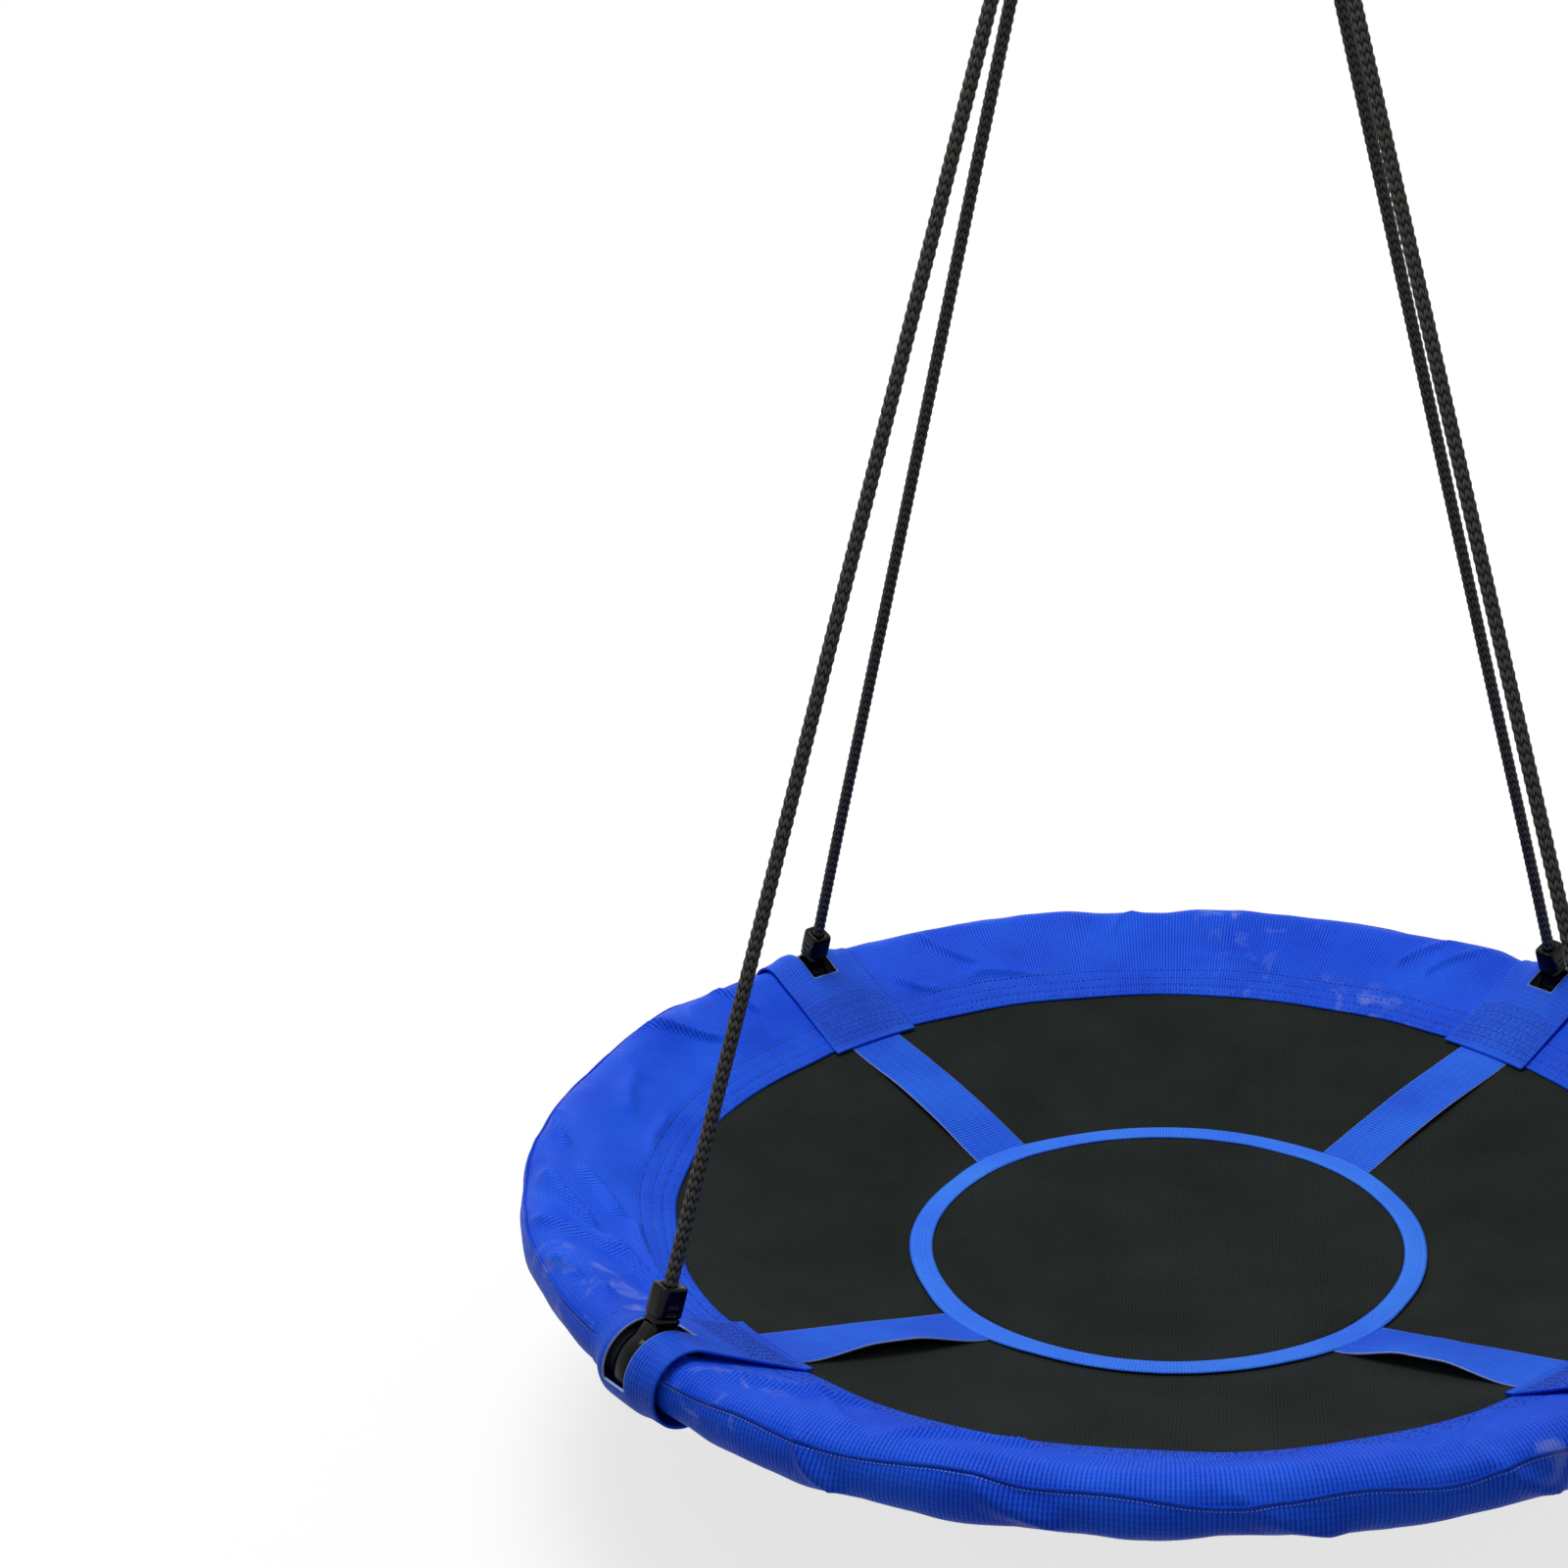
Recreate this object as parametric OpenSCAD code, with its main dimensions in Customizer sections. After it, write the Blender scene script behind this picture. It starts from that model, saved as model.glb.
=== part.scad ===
// Saucer nest swing: a padded steel ring with a stretched mat, hung on four ropes from two steel rings.
// Millimetres, +Z up. The origin is where the two rings bear on the hook, and everything hangs below it.

/* [Seat] */
// Outside diameter of the padded rim
seat_d = 1000; // [800:10:1300]
// Width of the rim cover, from its outside to the edge of the mat
cover_w = 115; // [85:1:160]
// Height of the rim tube's centre above the edge of the mat
rim_rise = 26; // [10:1:45]
// Thickness of the mat
mat_t = 1.2; // [0.8:0.1:2.5]
// Diameter of the centre disc, over its bound edge
disc_d = 408; // [200:2:560]
// Width of the binding round the centre disc
binding_w = 18; // [10:1:30]
// Depth of the dish inside the centre disc
dish_h = 5; // [1:0.5:25]
// Width of the webbing spokes
spoke_w = 50; // [25:1:80]
// Thickness of the webbing
webbing_t = 1.4; // [1:0.1:3]
// Thickness of the disc, binding and cover cloth
cloth_t = 1; // [0.6:0.1:2]
// Gap between one layer of cloth and the next
lay_gap = 0.1; // [0.05:0.05:0.3]

/* [Frame] */
// Outside diameter of the rim tube
tube_d = 25; // [19:0.5:32]
// Wall of the rim tube
tube_wall = 1.5; // [1:0.1:2.5]
// Length of the swaged spigot that joins one tube to the next
spigot_l = 45; // [25:1:80]
// Clearance of a spigot in its socket, on the radius
spigot_fit = 0.2; // [0.1:0.05:0.5]
// Shank diameter of the frame screws
screw_d = 4.8; // [3:0.1:6]
// Head diameter and height of the frame screws
screw_head = [9, 2];

/* [Padding] */
// Wall of the foam sleeve round the tube
foam_t = 6; // [3:0.5:15]
// Clearance between the foam, the tube and the cover
foam_fit = 0.3; // [0.2:0.05:0.6]
// Diameter of the piped seam round the outside of the cover
welt_d = 2.4; // [1.5:0.1:4]
// Where that seam runs, above the level of the tube
welt_angle = 37; // [0:1:80]

/* [Hanger patches] */
// Width of the webbing patch at each hanging point
patch_w = 110; // [60:1:160]
// Thickness of the patch
patch_t = 2; // [1:0.1:4]
// Length of the patch's tail over the mat
tail_l = 30; // [10:1:60]
// Width of the slot that the rope eye comes through
slot_w = 28; // [24:0.5:50]
// Where the slot starts and ends round the tube
slot_arc = [-5, 150];
// Gap between the rope eye and the patch that goes round it
patch_fit = 2; // [1:0.5:6]

/* [Rope eyes] */
// Width of the moulded eye, along the tube
eye_w = 22; // [14:0.5:40]
// Thickness of the eye round the tube
eye_t = 13; // [6:0.5:20]
// Running clearance of the eye on the tube, on the radius
eye_fit = 0.5; // [0.4:0.1:1]
// Radius of the eye's domed outside
eye_dome = 14; // [12:0.5:30]
// Width and depth of the clamp block on the eye
block_size = [26, 22];
// Distance of the clamp block's top from the centre of the tube
block_top = 58; // [52:1:90]
// Depth of the rope socket in the clamp block
socket_l = 7.5; // [4:0.5:15]
// Height of the clamp block's head
head_l = 13; // [8:0.5:20]
// Width and height of the recesses in the clamp block's sides
window_size = [12, 4];
// Depth of those recesses
window_depth = 4; // [2:0.5:4.5]

/* [Ropes] */
// Rope diameter
rope_d = 10; // [6:0.5:10]
// Height of the hook above the edge of the mat
hang_h = 1300; // [1300:1:1301]
// Clearance of the rope in a bore, on the radius
rope_fit = 0.6; // [0.5:0.1:1]
// Drop of the adjusters below the hook
adjuster_drop = 300; // [240:5:380]
// Length of an adjuster
adjuster_l = 26; // [18:1:40]
// Wall of an adjuster round its bores
adjuster_wall = 3.4; // [2:0.1:6]
// Distance between an adjuster's two bores
bore_gap = 14; // [14:0.5:15]
// Diameter of the stopper knot
knot_d = 27; // [24:0.5:32]
// Number of turns in the stopper knot
knot_turns = 3; // [2:1:4]
// Gap at each end of a stretch of rope
rope_cut = 0.2; // [0.1:0.1:0.5]

/* [Rings] */
// Mean diameter of the steel rings
ring_d = 40; // [40:1:42]
// Thickness of the ring wire
ring_wire = 6; // [4:0.5:6]
// Distance between the rings on the hook
ring_apart = 16; // [16:1:18]
// How far each ring is turned from the front-to-back plane
ring_turn = 25; // [20:1:30]
// How far the bottom of each ring is pushed outwards
ring_tilt = 13; // [10:1:15]

/* [Hidden] */

$fn = 96;
pad_r = tube_d / 2 + 2 * foam_fit + foam_t + cloth_t;
rim_r = seat_d / 2 - pad_r;
mat_r = seat_d / 2 - cover_w;
rim_z = rim_rise - hang_h;
disc_r = disc_d / 2;
// The cover and the mat lie on one straight line from the tube to the centre disc.
slope = atan2(rim_rise, rim_r - mat_r);
flap_l = norm([rim_rise, rim_r - mat_r]);
disc_z = -hang_h - (mat_r - disc_r) * tan(slope);
// Half of what lies between the two walls of the cover at the edge of the mat
edge_gap = mat_t / 2 + 1.5 * lay_gap;
spoke_lo = mat_t / 2 + lay_gap;
patch_lift = spoke_lo + webbing_t + 2 * lay_gap;
eye_r = tube_d / 2 + eye_fit + eye_t;
eye_gap_w = eye_w + 10;
// The ropes lean in from the rim to their loops on the rings.
loop_r = 23;
loop_drop = 34;
rope_lean = atan2(rim_r - loop_r, hang_h - rim_rise - loop_drop);

// Hanging points 1 to 4: front left, back left, back right, front right.
function hanger_angle(i) = 315 - 90 * i;
// Half a turn takes the left ring and its two ropes to the right one.
function half_turn(i) = i > 2 ? 180 : 0;

// The ropes' routes, from the rope eye up, over the ring and down to the adjuster.
front_end = [[-327, -327, -1226.5], [-297.5, -296, -1110], [-269, -267, -1000]];
front_leg = [[-269, -267, -1000], [-192, -188, -700], [-115, -108.5, -400], [-54.5, -46.5, -165]];
front_loop = [
    [-54.5, -46.5, -165], [-31.5, -22.5, -76], [-21.5, -12, -34], [-19.5, -11.5, -29], [-16, -9.5, -26.5],
    [-11.5, -7.5, -26.5], [-7, -6, -28.5], [-5, -5, -33], [-6, -5, -40], [-24, -20, -100],
    [-43.5, -38, -170]
];
front_tail = [[-43.5, -38, -170], [-71, -63.5, -269], [-83.2, -76.2, -317.2]];
back_end = [[-327, 327, -1226.5], [-298, 294, -1110], [-270, 264, -1000]];
back_leg = [[-270, 264, -1000], [-194, 181.5, -700], [-118.5, 99, -400], [-59, 34, -165]];
back_loop = [
    [-59, 34, -165], [-36.5, 9.5, -76], [-26, -2, -34], [-24, -1.5, -29], [-20.5, 0.5, -26.5],
    [-16, 2.5, -26.5], [-11.5, 4, -28.5], [-9.5, 5, -33], [-10.5, 5.5, -40], [-28, 13, -100],
    [-47.5, 29, -170]
];
back_tail = [[-47.5, 29, -170], [-75, 51.7, -269.3], [-87.1, 64.9, -317.3]];

function is_front(i) = i == 1 || i == 3;
function end_route(i) = is_front(i) ? front_end : back_end;
function leg_route(i) = is_front(i) ? front_leg : back_leg;
function loop_route(i) = is_front(i) ? front_loop : back_loop;
function tail_route(i) = is_front(i) ? front_tail : back_tail;
function unit(v) = v / norm(v);

// Height of the middle of the mat at radius r: a straight cone, and a shallow dish inside the disc.
function mat_z(r) = r > disc_r
    ? disc_z + (r - disc_r) * tan(slope)
    : disc_z - dish_h * (1 - pow(r / disc_r, 2));
function steps(a, b, n) = [for (k = [0:n]) a + (b - a) * k / n];
function flipped(list) = [for (k = [len(list) - 1:-1:0]) list[k]];

// ---------- shared shapes ----------

// A tube of equal rings through the points of a route, cut a little short at both ends.
module sweep(route, d, cut, sides = 10) {
    n = len(route);
    function along(k) = unit(route[min(k + 1, n - 1)] - route[max(k - 1, 0)]);
    function side(k) = unit(cross(along(k), [0.3, -0.95, 0.1]));
    function trim(k) = k == 0 ? cut : k == n - 1 ? -cut : 0;
    points = [
        for (k = [0:n - 1])
            let (u = side(k), v = cross(along(k), u))
            for (a = [0:sides - 1])
                route[k] + trim(k) * along(k)
                    + d / 2 * (cos(360 * a / sides) * u + sin(360 * a / sides) * v)
    ];
    walls = [
        for (k = [0:n - 2], a = [0:sides - 1])
            let (b = (a + 1) % sides, p = k * sides)
            each [[p + a, p + sides + a, p + b], [p + b, p + sides + a, p + sides + b]]
    ];
    caps = [[for (a = [0:sides - 1]) a], [for (a = [sides - 1:-1:0]) (n - 1) * sides + a]];
    polyhedron(points, concat(walls, caps), convexity = 4);
}

// Part of a turn round the middle, from one angle to another.
module arc(from, to) {
    rotate([0, 0, from])
        rotate_extrude(angle = to - from)
            children();
}

// A layer that follows the mat between two radii, from lo to hi above its middle.
module layer(radii, lo, hi) {
    polygon(concat(
        [for (r = radii) [r, mat_z(r) + lo]],
        [for (r = flipped(radii)) [r, mat_z(r) + hi]]
    ));
}

// The cover's section: round the tube, and drawn down to the edge of the mat and a tail beyond it.
module sleeve_section(r, half_edge, tail = 0) {
    // The flap meets the round a little inside it, in a soft crease.
    crease_r = r - 0.3;
    b = asin((crease_r - half_edge) / flap_l);
    upper = [[flap_l - crease_r * sin(b), crease_r * cos(b)], [0, half_edge]];
    side = tail > 0 ? concat(upper, [[-tail, half_edge]]) : upper;
    translate([mat_r, -hang_h])
        rotate(slope) {
            translate([flap_l, 0])
                circle(r);
            polygon(concat([[flap_l, 0]], side, [for (p = flipped(side)) [p[0], -p[1]]]));
        }
}

module ring_section(r, wall) {
    translate([rim_r, rim_z])
        difference() {
            circle(r);
            circle(r - wall);
        }
}

// A solid round section, from which a tube is made by taking a smaller one out.
module disc_section(r) {
    translate([rim_r, rim_z])
        circle(r);
}

module at_hanger(i) {
    rotate([0, 0, hanger_angle(i)])
        translate([rim_r, 0, rim_z])
            children();
}

// Z runs along the rope from the tube's centre, and X points outwards.
module up_rope(i) {
    at_hanger(i)
        rotate([0, -rope_lean, 0])
            children();
}

// A chamfered block, as the clamp is moulded.
module chamfered(size, h, c = 3) {
    x = size[0] / 2;
    y = size[1] / 2;
    linear_extrude(h)
        polygon([
            [x, y - c], [x - c, y], [c - x, y], [-x, y - c],
            [-x, c - y], [c - x, -y], [x - c, -y], [x, c - y]
        ]);
}

// ---------- frame ----------

// A quarter of the rim: a bent tube with one end swaged down to slide into the next.
module frame_tube(i) {
    r = tube_d / 2;
    spigot_r = r - tube_wall - spigot_fit;
    neck = 0.7;
    start = hanger_angle(i) - 45;
    end = start + 90;
    color("lightsteelblue")
        difference() {
            union() {
                arc(start, end - 0.05)
                    disc_section(r);
                arc(end - 0.05, end + spigot_angle())
                    disc_section(spigot_r);
            }
            arc(start - 0.5, end - neck)
                disc_section(r - tube_wall);
            arc(end - neck - 0.1, end + spigot_angle() + 0.5)
                disc_section(spigot_r - tube_wall);
            screw_hole(start);
            screw_hole(end);
        }
}

function spigot_angle() = spigot_l / rim_r * 180 / PI;

module at_screw(angle) {
    rotate([0, 0, angle + spigot_angle() / 2])
        translate([rim_r, 0, rim_z - tube_d / 2])
            children();
}

module screw_hole(angle) {
    at_screw(angle)
        translate([0, 0, -1])
            cylinder(d = screw_d + 0.3, h = 2 * tube_wall + spigot_fit + 2);
}

// One pan-head screw through each joint, from below.
module frame_screws() {
    color("silver")
        for (i = [1:4])
            at_screw(hanger_angle(i) + 45) {
                translate([0, 0, -screw_head[1] - 0.1])
                    cylinder(d = screw_head[0], h = screw_head[1]);
                translate([0, 0, -1])
                    cylinder(d = screw_d, h = 8);
            }
}

// ---------- padding and cover ----------

module foam_sleeve(i) {
    from = hanger_angle(i) + eye_gap_angle();
    to = hanger_angle(i) + 90 - eye_gap_angle();
    color("dimgray")
        difference() {
            arc(from, to)
                ring_section(tube_d / 2 + foam_fit + foam_t, foam_t);
            at_screw(hanger_angle(i) + 45)
                translate([0, 0, -screw_head[1] - 0.6])
                    cylinder(d = screw_head[0] + 1, h = screw_head[1] + 1);
        }
}

function eye_gap_angle() = asin(eye_gap_w / 2 / rim_r);

// The cover between two hanging points, cut back at each end to clear the rope eye.
module rim_cover(i) {
    color("royalblue")
        difference() {
            arc(hanger_angle(i) + 0.03, hanger_angle(i) + 89.97)
                difference() {
                    union() {
                        sleeve_section(pad_r, edge_gap + cloth_t);
                        translate([rim_r, rim_z])
                            rotate(welt_angle)
                                translate([pad_r - 0.6, 0])
                                    circle(d = welt_d, $fn = 24);
                    }
                    sleeve_section(pad_r - cloth_t, edge_gap, 1);
                }
            eye_gap(hanger_angle(i));
            eye_gap(hanger_angle(i) + 90);
        }
}

module eye_gap(angle) {
    rotate([0, 0, angle])
        translate([rim_r - eye_r - 3, -eye_gap_w / 2, rim_z - 40])
            cube([80, eye_gap_w, 80]);
}

// ---------- hanger patches and rope eyes ----------

// Webbing wrapped over the rim, with a slot for the rope eye and a tail sewn down over the spoke.
module hanger_patch(i) {
    inner_r = eye_r + patch_fit;
    half = asin(patch_w / 2 / (mat_r - tail_l)) + 1;
    color("mediumblue")
        difference() {
            intersection() {
                arc(hanger_angle(i) - half, hanger_angle(i) + half)
                    difference() {
                        sleeve_section(inner_r + patch_t, patch_lift + patch_t, tail_l);
                        sleeve_section(inner_r, patch_lift, tail_l + 1);
                        translate([mat_r, -hang_h])
                            rotate(slope)
                                translate([-tail_l - 1, -20])
                                    square([tail_l + 1, 20]);
                    }
                rotate([0, 0, hanger_angle(i)])
                    translate([0, -patch_w / 2, -2 * hang_h])
                        cube([seat_d, patch_w, 2 * hang_h]);
            }
            at_hanger(i)
                patch_slot();
        }
}

module patch_slot() {
    reach = 2 * eye_r;
    rotate([90, 0, 0])
        linear_extrude(slot_w, center = true)
            polygon(concat(
                [[0, 0]],
                [for (a = steps(slot_arc[0], slot_arc[1], 5)) reach * [cos(a), sin(a)]]
            ));
}

// An outline that flares from one half width at the bottom to another at the top, in a hollow curve.
module flare(low, high, from, to) {
    side = [for (t = steps(0, 1, 6)) [high + (low - high) * pow(1 - t, 2), from + (to - from) * t]];
    polygon(concat(side, [for (p = flipped(side)) [-p[0], p[1]]]));
}

// An outline with its two top corners cut off.
module topped(width, h, c) {
    x = width / 2;
    polygon([[-x, 0], [x, 0], [x, h - c], [x - c, h], [c - x, h], [c - x - c, h - c]]);
}

// The head of the clamp block: corners and top edges are cut off.
module block_head(size, h) {
    intersection() {
        chamfered(size, h);
        rotate([90, 0, 0])
            linear_extrude(size[1] + 2, center = true)
                topped(size[0], h, 1);
        rotate([90, 0, 90])
            linear_extrude(size[0] + 2, center = true)
                topped(size[1], h, 1);
    }
}

// A moulded eye that turns on the tube, with the ribbed block that clamps the rope.
module rope_eye(i) {
    bore_r = tube_d / 2 + eye_fit;
    neck = [bore_r + 2, block_top - 24];
    color("black")
        up_rope(i)
            difference() {
                union() {
                    rotate([90, 0, 0])
                        rotate_extrude()
                            intersection() {
                                translate([bore_r, -eye_w / 2])
                                    square([eye_t, eye_w]);
                                translate([eye_r - eye_dome, 0])
                                    circle(eye_dome);
                            }
                    intersection() {
                        rotate([90, 0, 0])
                            linear_extrude(eye_w, center = true)
                                flare(bore_r + 9, block_size[0] / 2 - 2, neck[0], neck[1]);
                        rotate([90, 0, 90])
                            linear_extrude(4 * bore_r, center = true)
                                flare(eye_w / 2 - 0.4, block_size[1] / 2 - 2, neck[0], neck[1]);
                    }
                    translate([0, 0, eye_r + 4])
                        chamfered(block_size - [4, 4], block_top - eye_r - 8);
                    for (rib = [26, 19])
                        translate([0, 0, block_top - rib])
                            chamfered(block_size - [2, 1], 3.5);
                    translate([0, 0, block_top - head_l])
                        block_head(block_size, head_l);
                }
                rotate([90, 0, 0])
                    cylinder(r = bore_r, h = eye_w + 4, center = true);
                translate([0, 0, block_top - socket_l])
                    cylinder(d = rope_d + 1, h = socket_l + 1);
                for (side = [-1, 1], low = [head_l + 1, 22.5])
                    translate([0, side * block_size[1] / 2, block_top - low])
                        clamp_window();
            }
}

// A recess that saves material in the side of the clamp block.
module clamp_window() {
    translate([-window_size[0] / 2, -window_depth, 0])
        cube([window_size[0], 2 * window_depth, window_size[1]]);
}

// ---------- mat ----------

module mat() {
    outer = mat_r + flap_l * cos(slope) * 0.45;
    color("#262a28")
        rotate_extrude()
            layer(concat(steps(0, disc_r, 8), [outer]), -mat_t / 2, mat_t / 2);
}

module spoke(i) {
    inner = disc_r - binding_w + 3;
    outer = mat_r - 1;
    color("royalblue")
        intersection() {
            rotate_extrude()
                layer([inner, disc_r, outer], spoke_lo, spoke_lo + webbing_t);
            rotate([0, 0, hanger_angle(i)])
                translate([inner - 5, -spoke_w / 2, disc_z - 100])
                    cube([outer - inner + 10, spoke_w, 300]);
        }
}

module centre_disc() {
    color("#1f2321")
        rotate_extrude()
            layer(steps(0, disc_r - binding_w + 2, 8), spoke_lo, spoke_lo + cloth_t);
}

module centre_binding() {
    lo = spoke_lo + webbing_t + lay_gap;
    color("dodgerblue")
        rotate_extrude()
            layer(steps(disc_r - binding_w, disc_r, 2), lo, lo + cloth_t);
}

// ---------- ropes and adjusters ----------

module rope(i, route) {
    color("#282828")
        rotate([0, 0, half_turn(i)])
            sweep(route, rope_d, rope_cut);
}

// Z runs up the rope's leg from the adjuster's main bore, and X points inwards.
module on_leg(i) {
    low = leg_route(i)[0];
    up = unit(leg_route(i)[3] - low);
    rotate([0, 0, half_turn(i)])
        translate(low + up * (-adjuster_drop - low.z) / up.z)
            rotate([0, acos(up.z), atan2(up.y, up.x)])
                children();
}

// A moulded slider with two bores, gripped by ribs, that shortens the loop.
module adjuster(i) {
    r = rope_d / 2 + rope_fit + adjuster_wall;
    color("black")
        on_leg(i)
            difference() {
                union() {
                    slider(r - 1, adjuster_l);
                    for (k = [-1:1])
                        translate([0, 0, k * (adjuster_l - 4) / 2])
                            slider(r, 4);
                }
                for (x = [0, bore_gap])
                    translate([x, 0, 0])
                        cylinder(d = rope_d + 2 * rope_fit, h = adjuster_l + 2, center = true);
            }
}

module slider(r, h) {
    linear_extrude(h, center = true) {
        circle(r);
        translate([bore_gap, 0])
            circle(r);
        translate([0, -r])
            square([bore_gap, 2 * r]);
    }
}

// The barrel knot that stops the rope's tail in the adjuster, with a short end below it.
module stopper_knot(i) {
    pitch = 0.9 * rope_d;
    length = (knot_turns - 1) * pitch + rope_d;
    drop = adjuster_l / 2 + 0.6 + length / 2;
    color("#282828")
        on_leg(i)
            translate([max(bore_gap, (rope_d + knot_d) / 2 + rope_cut), 0, -drop]) {
                rotate_extrude()
                    polygon(concat(
                        [[0, -length / 2]],
                        [for (t = [0:knot_turns - 1], a = [-60:20:60])
                            [(knot_d - rope_d) / 2 + rope_d / 2 * cos(a),
                             (t - (knot_turns - 1) / 2) * pitch + rope_d / 2 * sin(a)]],
                        [[0, length / 2]]
                    ));
                translate([0, 0, -length / 2 - 16])
                    cylinder(d = rope_d, h = 18);
            }
}

// ---------- rings ----------

// A welded ring, hanging from the hook with its bottom pushed outwards by the ropes.
module ring(turned) {
    rotate([0, 0, turned])
        translate([-ring_apart / 2, 0, 0])
            rotate([0, 0, ring_turn])
                rotate([0, ring_tilt, 0])
                    translate([0, 0, (ring_wire - ring_d) / 2])
                        rotate([0, 90, 0])
                            rotate_extrude()
                                translate([ring_d / 2, 0])
                                    circle(d = ring_wire);
}

module ring_left() {
    color("silver") ring(0);
}

module ring_right() {
    color("silver") ring(180);
}

ring_left();
ring_right();
frame_screws();
mat();
centre_disc();
centre_binding();
for (i = [1:4]) {
    rope(i, loop_route(i));
    rope(i, leg_route(i));
    rope(i, end_route(i));
    rope(i, tail_route(i));
    stopper_knot(i);
    adjuster(i);
    rope_eye(i);
    frame_tube(i);
    foam_sleeve(i);
    rim_cover(i);
    hanger_patch(i);
    spoke(i);
}
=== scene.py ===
# %% [markdown]
# # A saucer nest swing
# A nest swing is a padded steel ring with a mat stretched inside it, hung on four ropes. Almost all of what
# the eye meets is textile: a coated cover over foam, webbing, a woven mat and braided rope. So the lesson is
# about cloth that is pulled, sewn and creased, and about patterns whose size comes from the thread.
#
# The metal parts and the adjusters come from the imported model, which is loaded first and is never moved.

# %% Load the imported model
import math

import bmesh
import bpy
from mathutils import Matrix, Vector, noise


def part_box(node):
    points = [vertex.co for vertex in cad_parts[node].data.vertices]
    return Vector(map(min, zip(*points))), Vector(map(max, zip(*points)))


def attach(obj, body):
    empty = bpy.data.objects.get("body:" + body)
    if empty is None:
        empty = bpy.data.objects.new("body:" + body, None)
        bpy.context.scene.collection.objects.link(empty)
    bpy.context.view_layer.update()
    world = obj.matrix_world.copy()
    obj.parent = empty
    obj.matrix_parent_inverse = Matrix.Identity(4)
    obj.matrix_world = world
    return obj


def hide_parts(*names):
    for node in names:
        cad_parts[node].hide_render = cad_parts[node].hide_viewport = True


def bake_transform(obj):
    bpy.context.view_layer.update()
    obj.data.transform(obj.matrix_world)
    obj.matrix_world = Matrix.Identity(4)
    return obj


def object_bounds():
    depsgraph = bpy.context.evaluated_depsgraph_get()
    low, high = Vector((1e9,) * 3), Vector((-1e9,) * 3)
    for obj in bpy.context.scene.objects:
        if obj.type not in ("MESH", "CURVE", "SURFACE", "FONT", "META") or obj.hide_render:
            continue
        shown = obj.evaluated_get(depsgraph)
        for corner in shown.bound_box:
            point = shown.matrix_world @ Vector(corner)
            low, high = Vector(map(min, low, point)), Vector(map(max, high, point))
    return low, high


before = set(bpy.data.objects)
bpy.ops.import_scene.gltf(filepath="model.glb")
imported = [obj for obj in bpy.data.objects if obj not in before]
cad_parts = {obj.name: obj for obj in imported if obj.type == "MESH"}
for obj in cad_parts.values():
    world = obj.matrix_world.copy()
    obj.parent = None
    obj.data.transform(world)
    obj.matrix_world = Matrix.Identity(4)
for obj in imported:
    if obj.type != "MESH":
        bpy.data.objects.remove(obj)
cad_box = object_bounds()
print("CAD box", [round(c, 4) for corner in cad_box for c in corner])

# %% [markdown]
# ## The camera
# The swing is seen from a little above the rim, from the front. The picture is cropped: the right of the seat
# and the tops of the ropes lie outside it. A lens shift moves the crop sideways without turning the camera,
# which keeps the ropes' perspective.

# %% Camera
camera = bpy.data.objects.new("camera", bpy.data.cameras.new("camera"))
bpy.context.scene.collection.objects.link(camera)
bpy.context.scene.camera = camera
camera.data.sensor_width = 36
camera.data.lens = 61.362
camera.data.shift_x = -0.125
camera.location = (0.0523, -1.9045, -0.3406)
yaw, pitch, roll = (math.radians(a) for a in (-5.838, 18.161, -1.072))
camera.matrix_world = (
    Matrix.Translation(camera.location)
    @ Matrix.Rotation(-yaw, 4, "Z")
    @ Matrix.Rotation(math.pi / 2 - pitch, 4, "X")
    @ Matrix.Rotation(roll, 4, "Z")
)
camera.data.clip_start = 0.01
print("camera", camera.data.lens, "mm, at", list(camera.location))

# %% [markdown]
# ## Sizes
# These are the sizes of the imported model, in metres, with the hook at the origin. Everything sewn lies on one
# cone: it runs from the disc in the middle, through the edge of the mat, to the centre of the rim's tube.

# %% Sizes
MM = 0.001
HANGERS = range(1, 5)
seat_low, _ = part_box("rim_cover_1")
SEAT_R = -seat_low.y
PAD_R = 0.020
RIM_R = SEAT_R - PAD_R
tube_low, tube_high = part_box("frame_tube_1")
RIM_Z = (tube_low.z + tube_high.z) / 2
MAT_R = 0.385
RIM_RISE = 0.026
EDGE_Z = RIM_Z - RIM_RISE
SLOPE = math.atan2(RIM_Z - EDGE_Z, RIM_R - MAT_R)
FLAP = math.hypot(RIM_Z - EDGE_Z, RIM_R - MAT_R)
DISC_R, DISC_DISH = 0.204, 0.005
DISC_Z = EDGE_Z - (MAT_R - DISC_R) * math.tan(SLOPE)
print(f"rim radius {RIM_R:.4f}, tube at z {RIM_Z:.4f}, slope {math.degrees(SLOPE):.1f} degrees")


def hanger_angle(number):
    """Where a hanging point lies: 1 front left, 2 back left, 3 back right, 4 front right."""
    return math.radians(315 - 90 * number)


def mat_height(radius):
    """Height of the mat: a cone, and a shallow dish inside the disc."""
    if radius > DISC_R:
        return DISC_Z + (radius - DISC_R) * math.tan(SLOPE)
    return DISC_Z - DISC_DISH * (1 - (radius / DISC_R) ** 2)


def ease(low, high, x):
    """0 below low, 1 above high, and smooth between."""
    t = min(1, max(0, (x - low) / (high - low)))
    return t * t * (3 - 2 * t)


def spaced(low, high, count):
    """Evenly spaced numbers from low to high."""
    return [low + (high - low) * k / count for k in range(count + 1)]


# %% [markdown]
# ## Materials
# A material is a small graph of nodes. One function adds a node, with its settings and its links, so the
# recipes below stay short. Colours are written as sRGB hex, as a colour chart gives them, and one function
# turns them linear.

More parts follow.
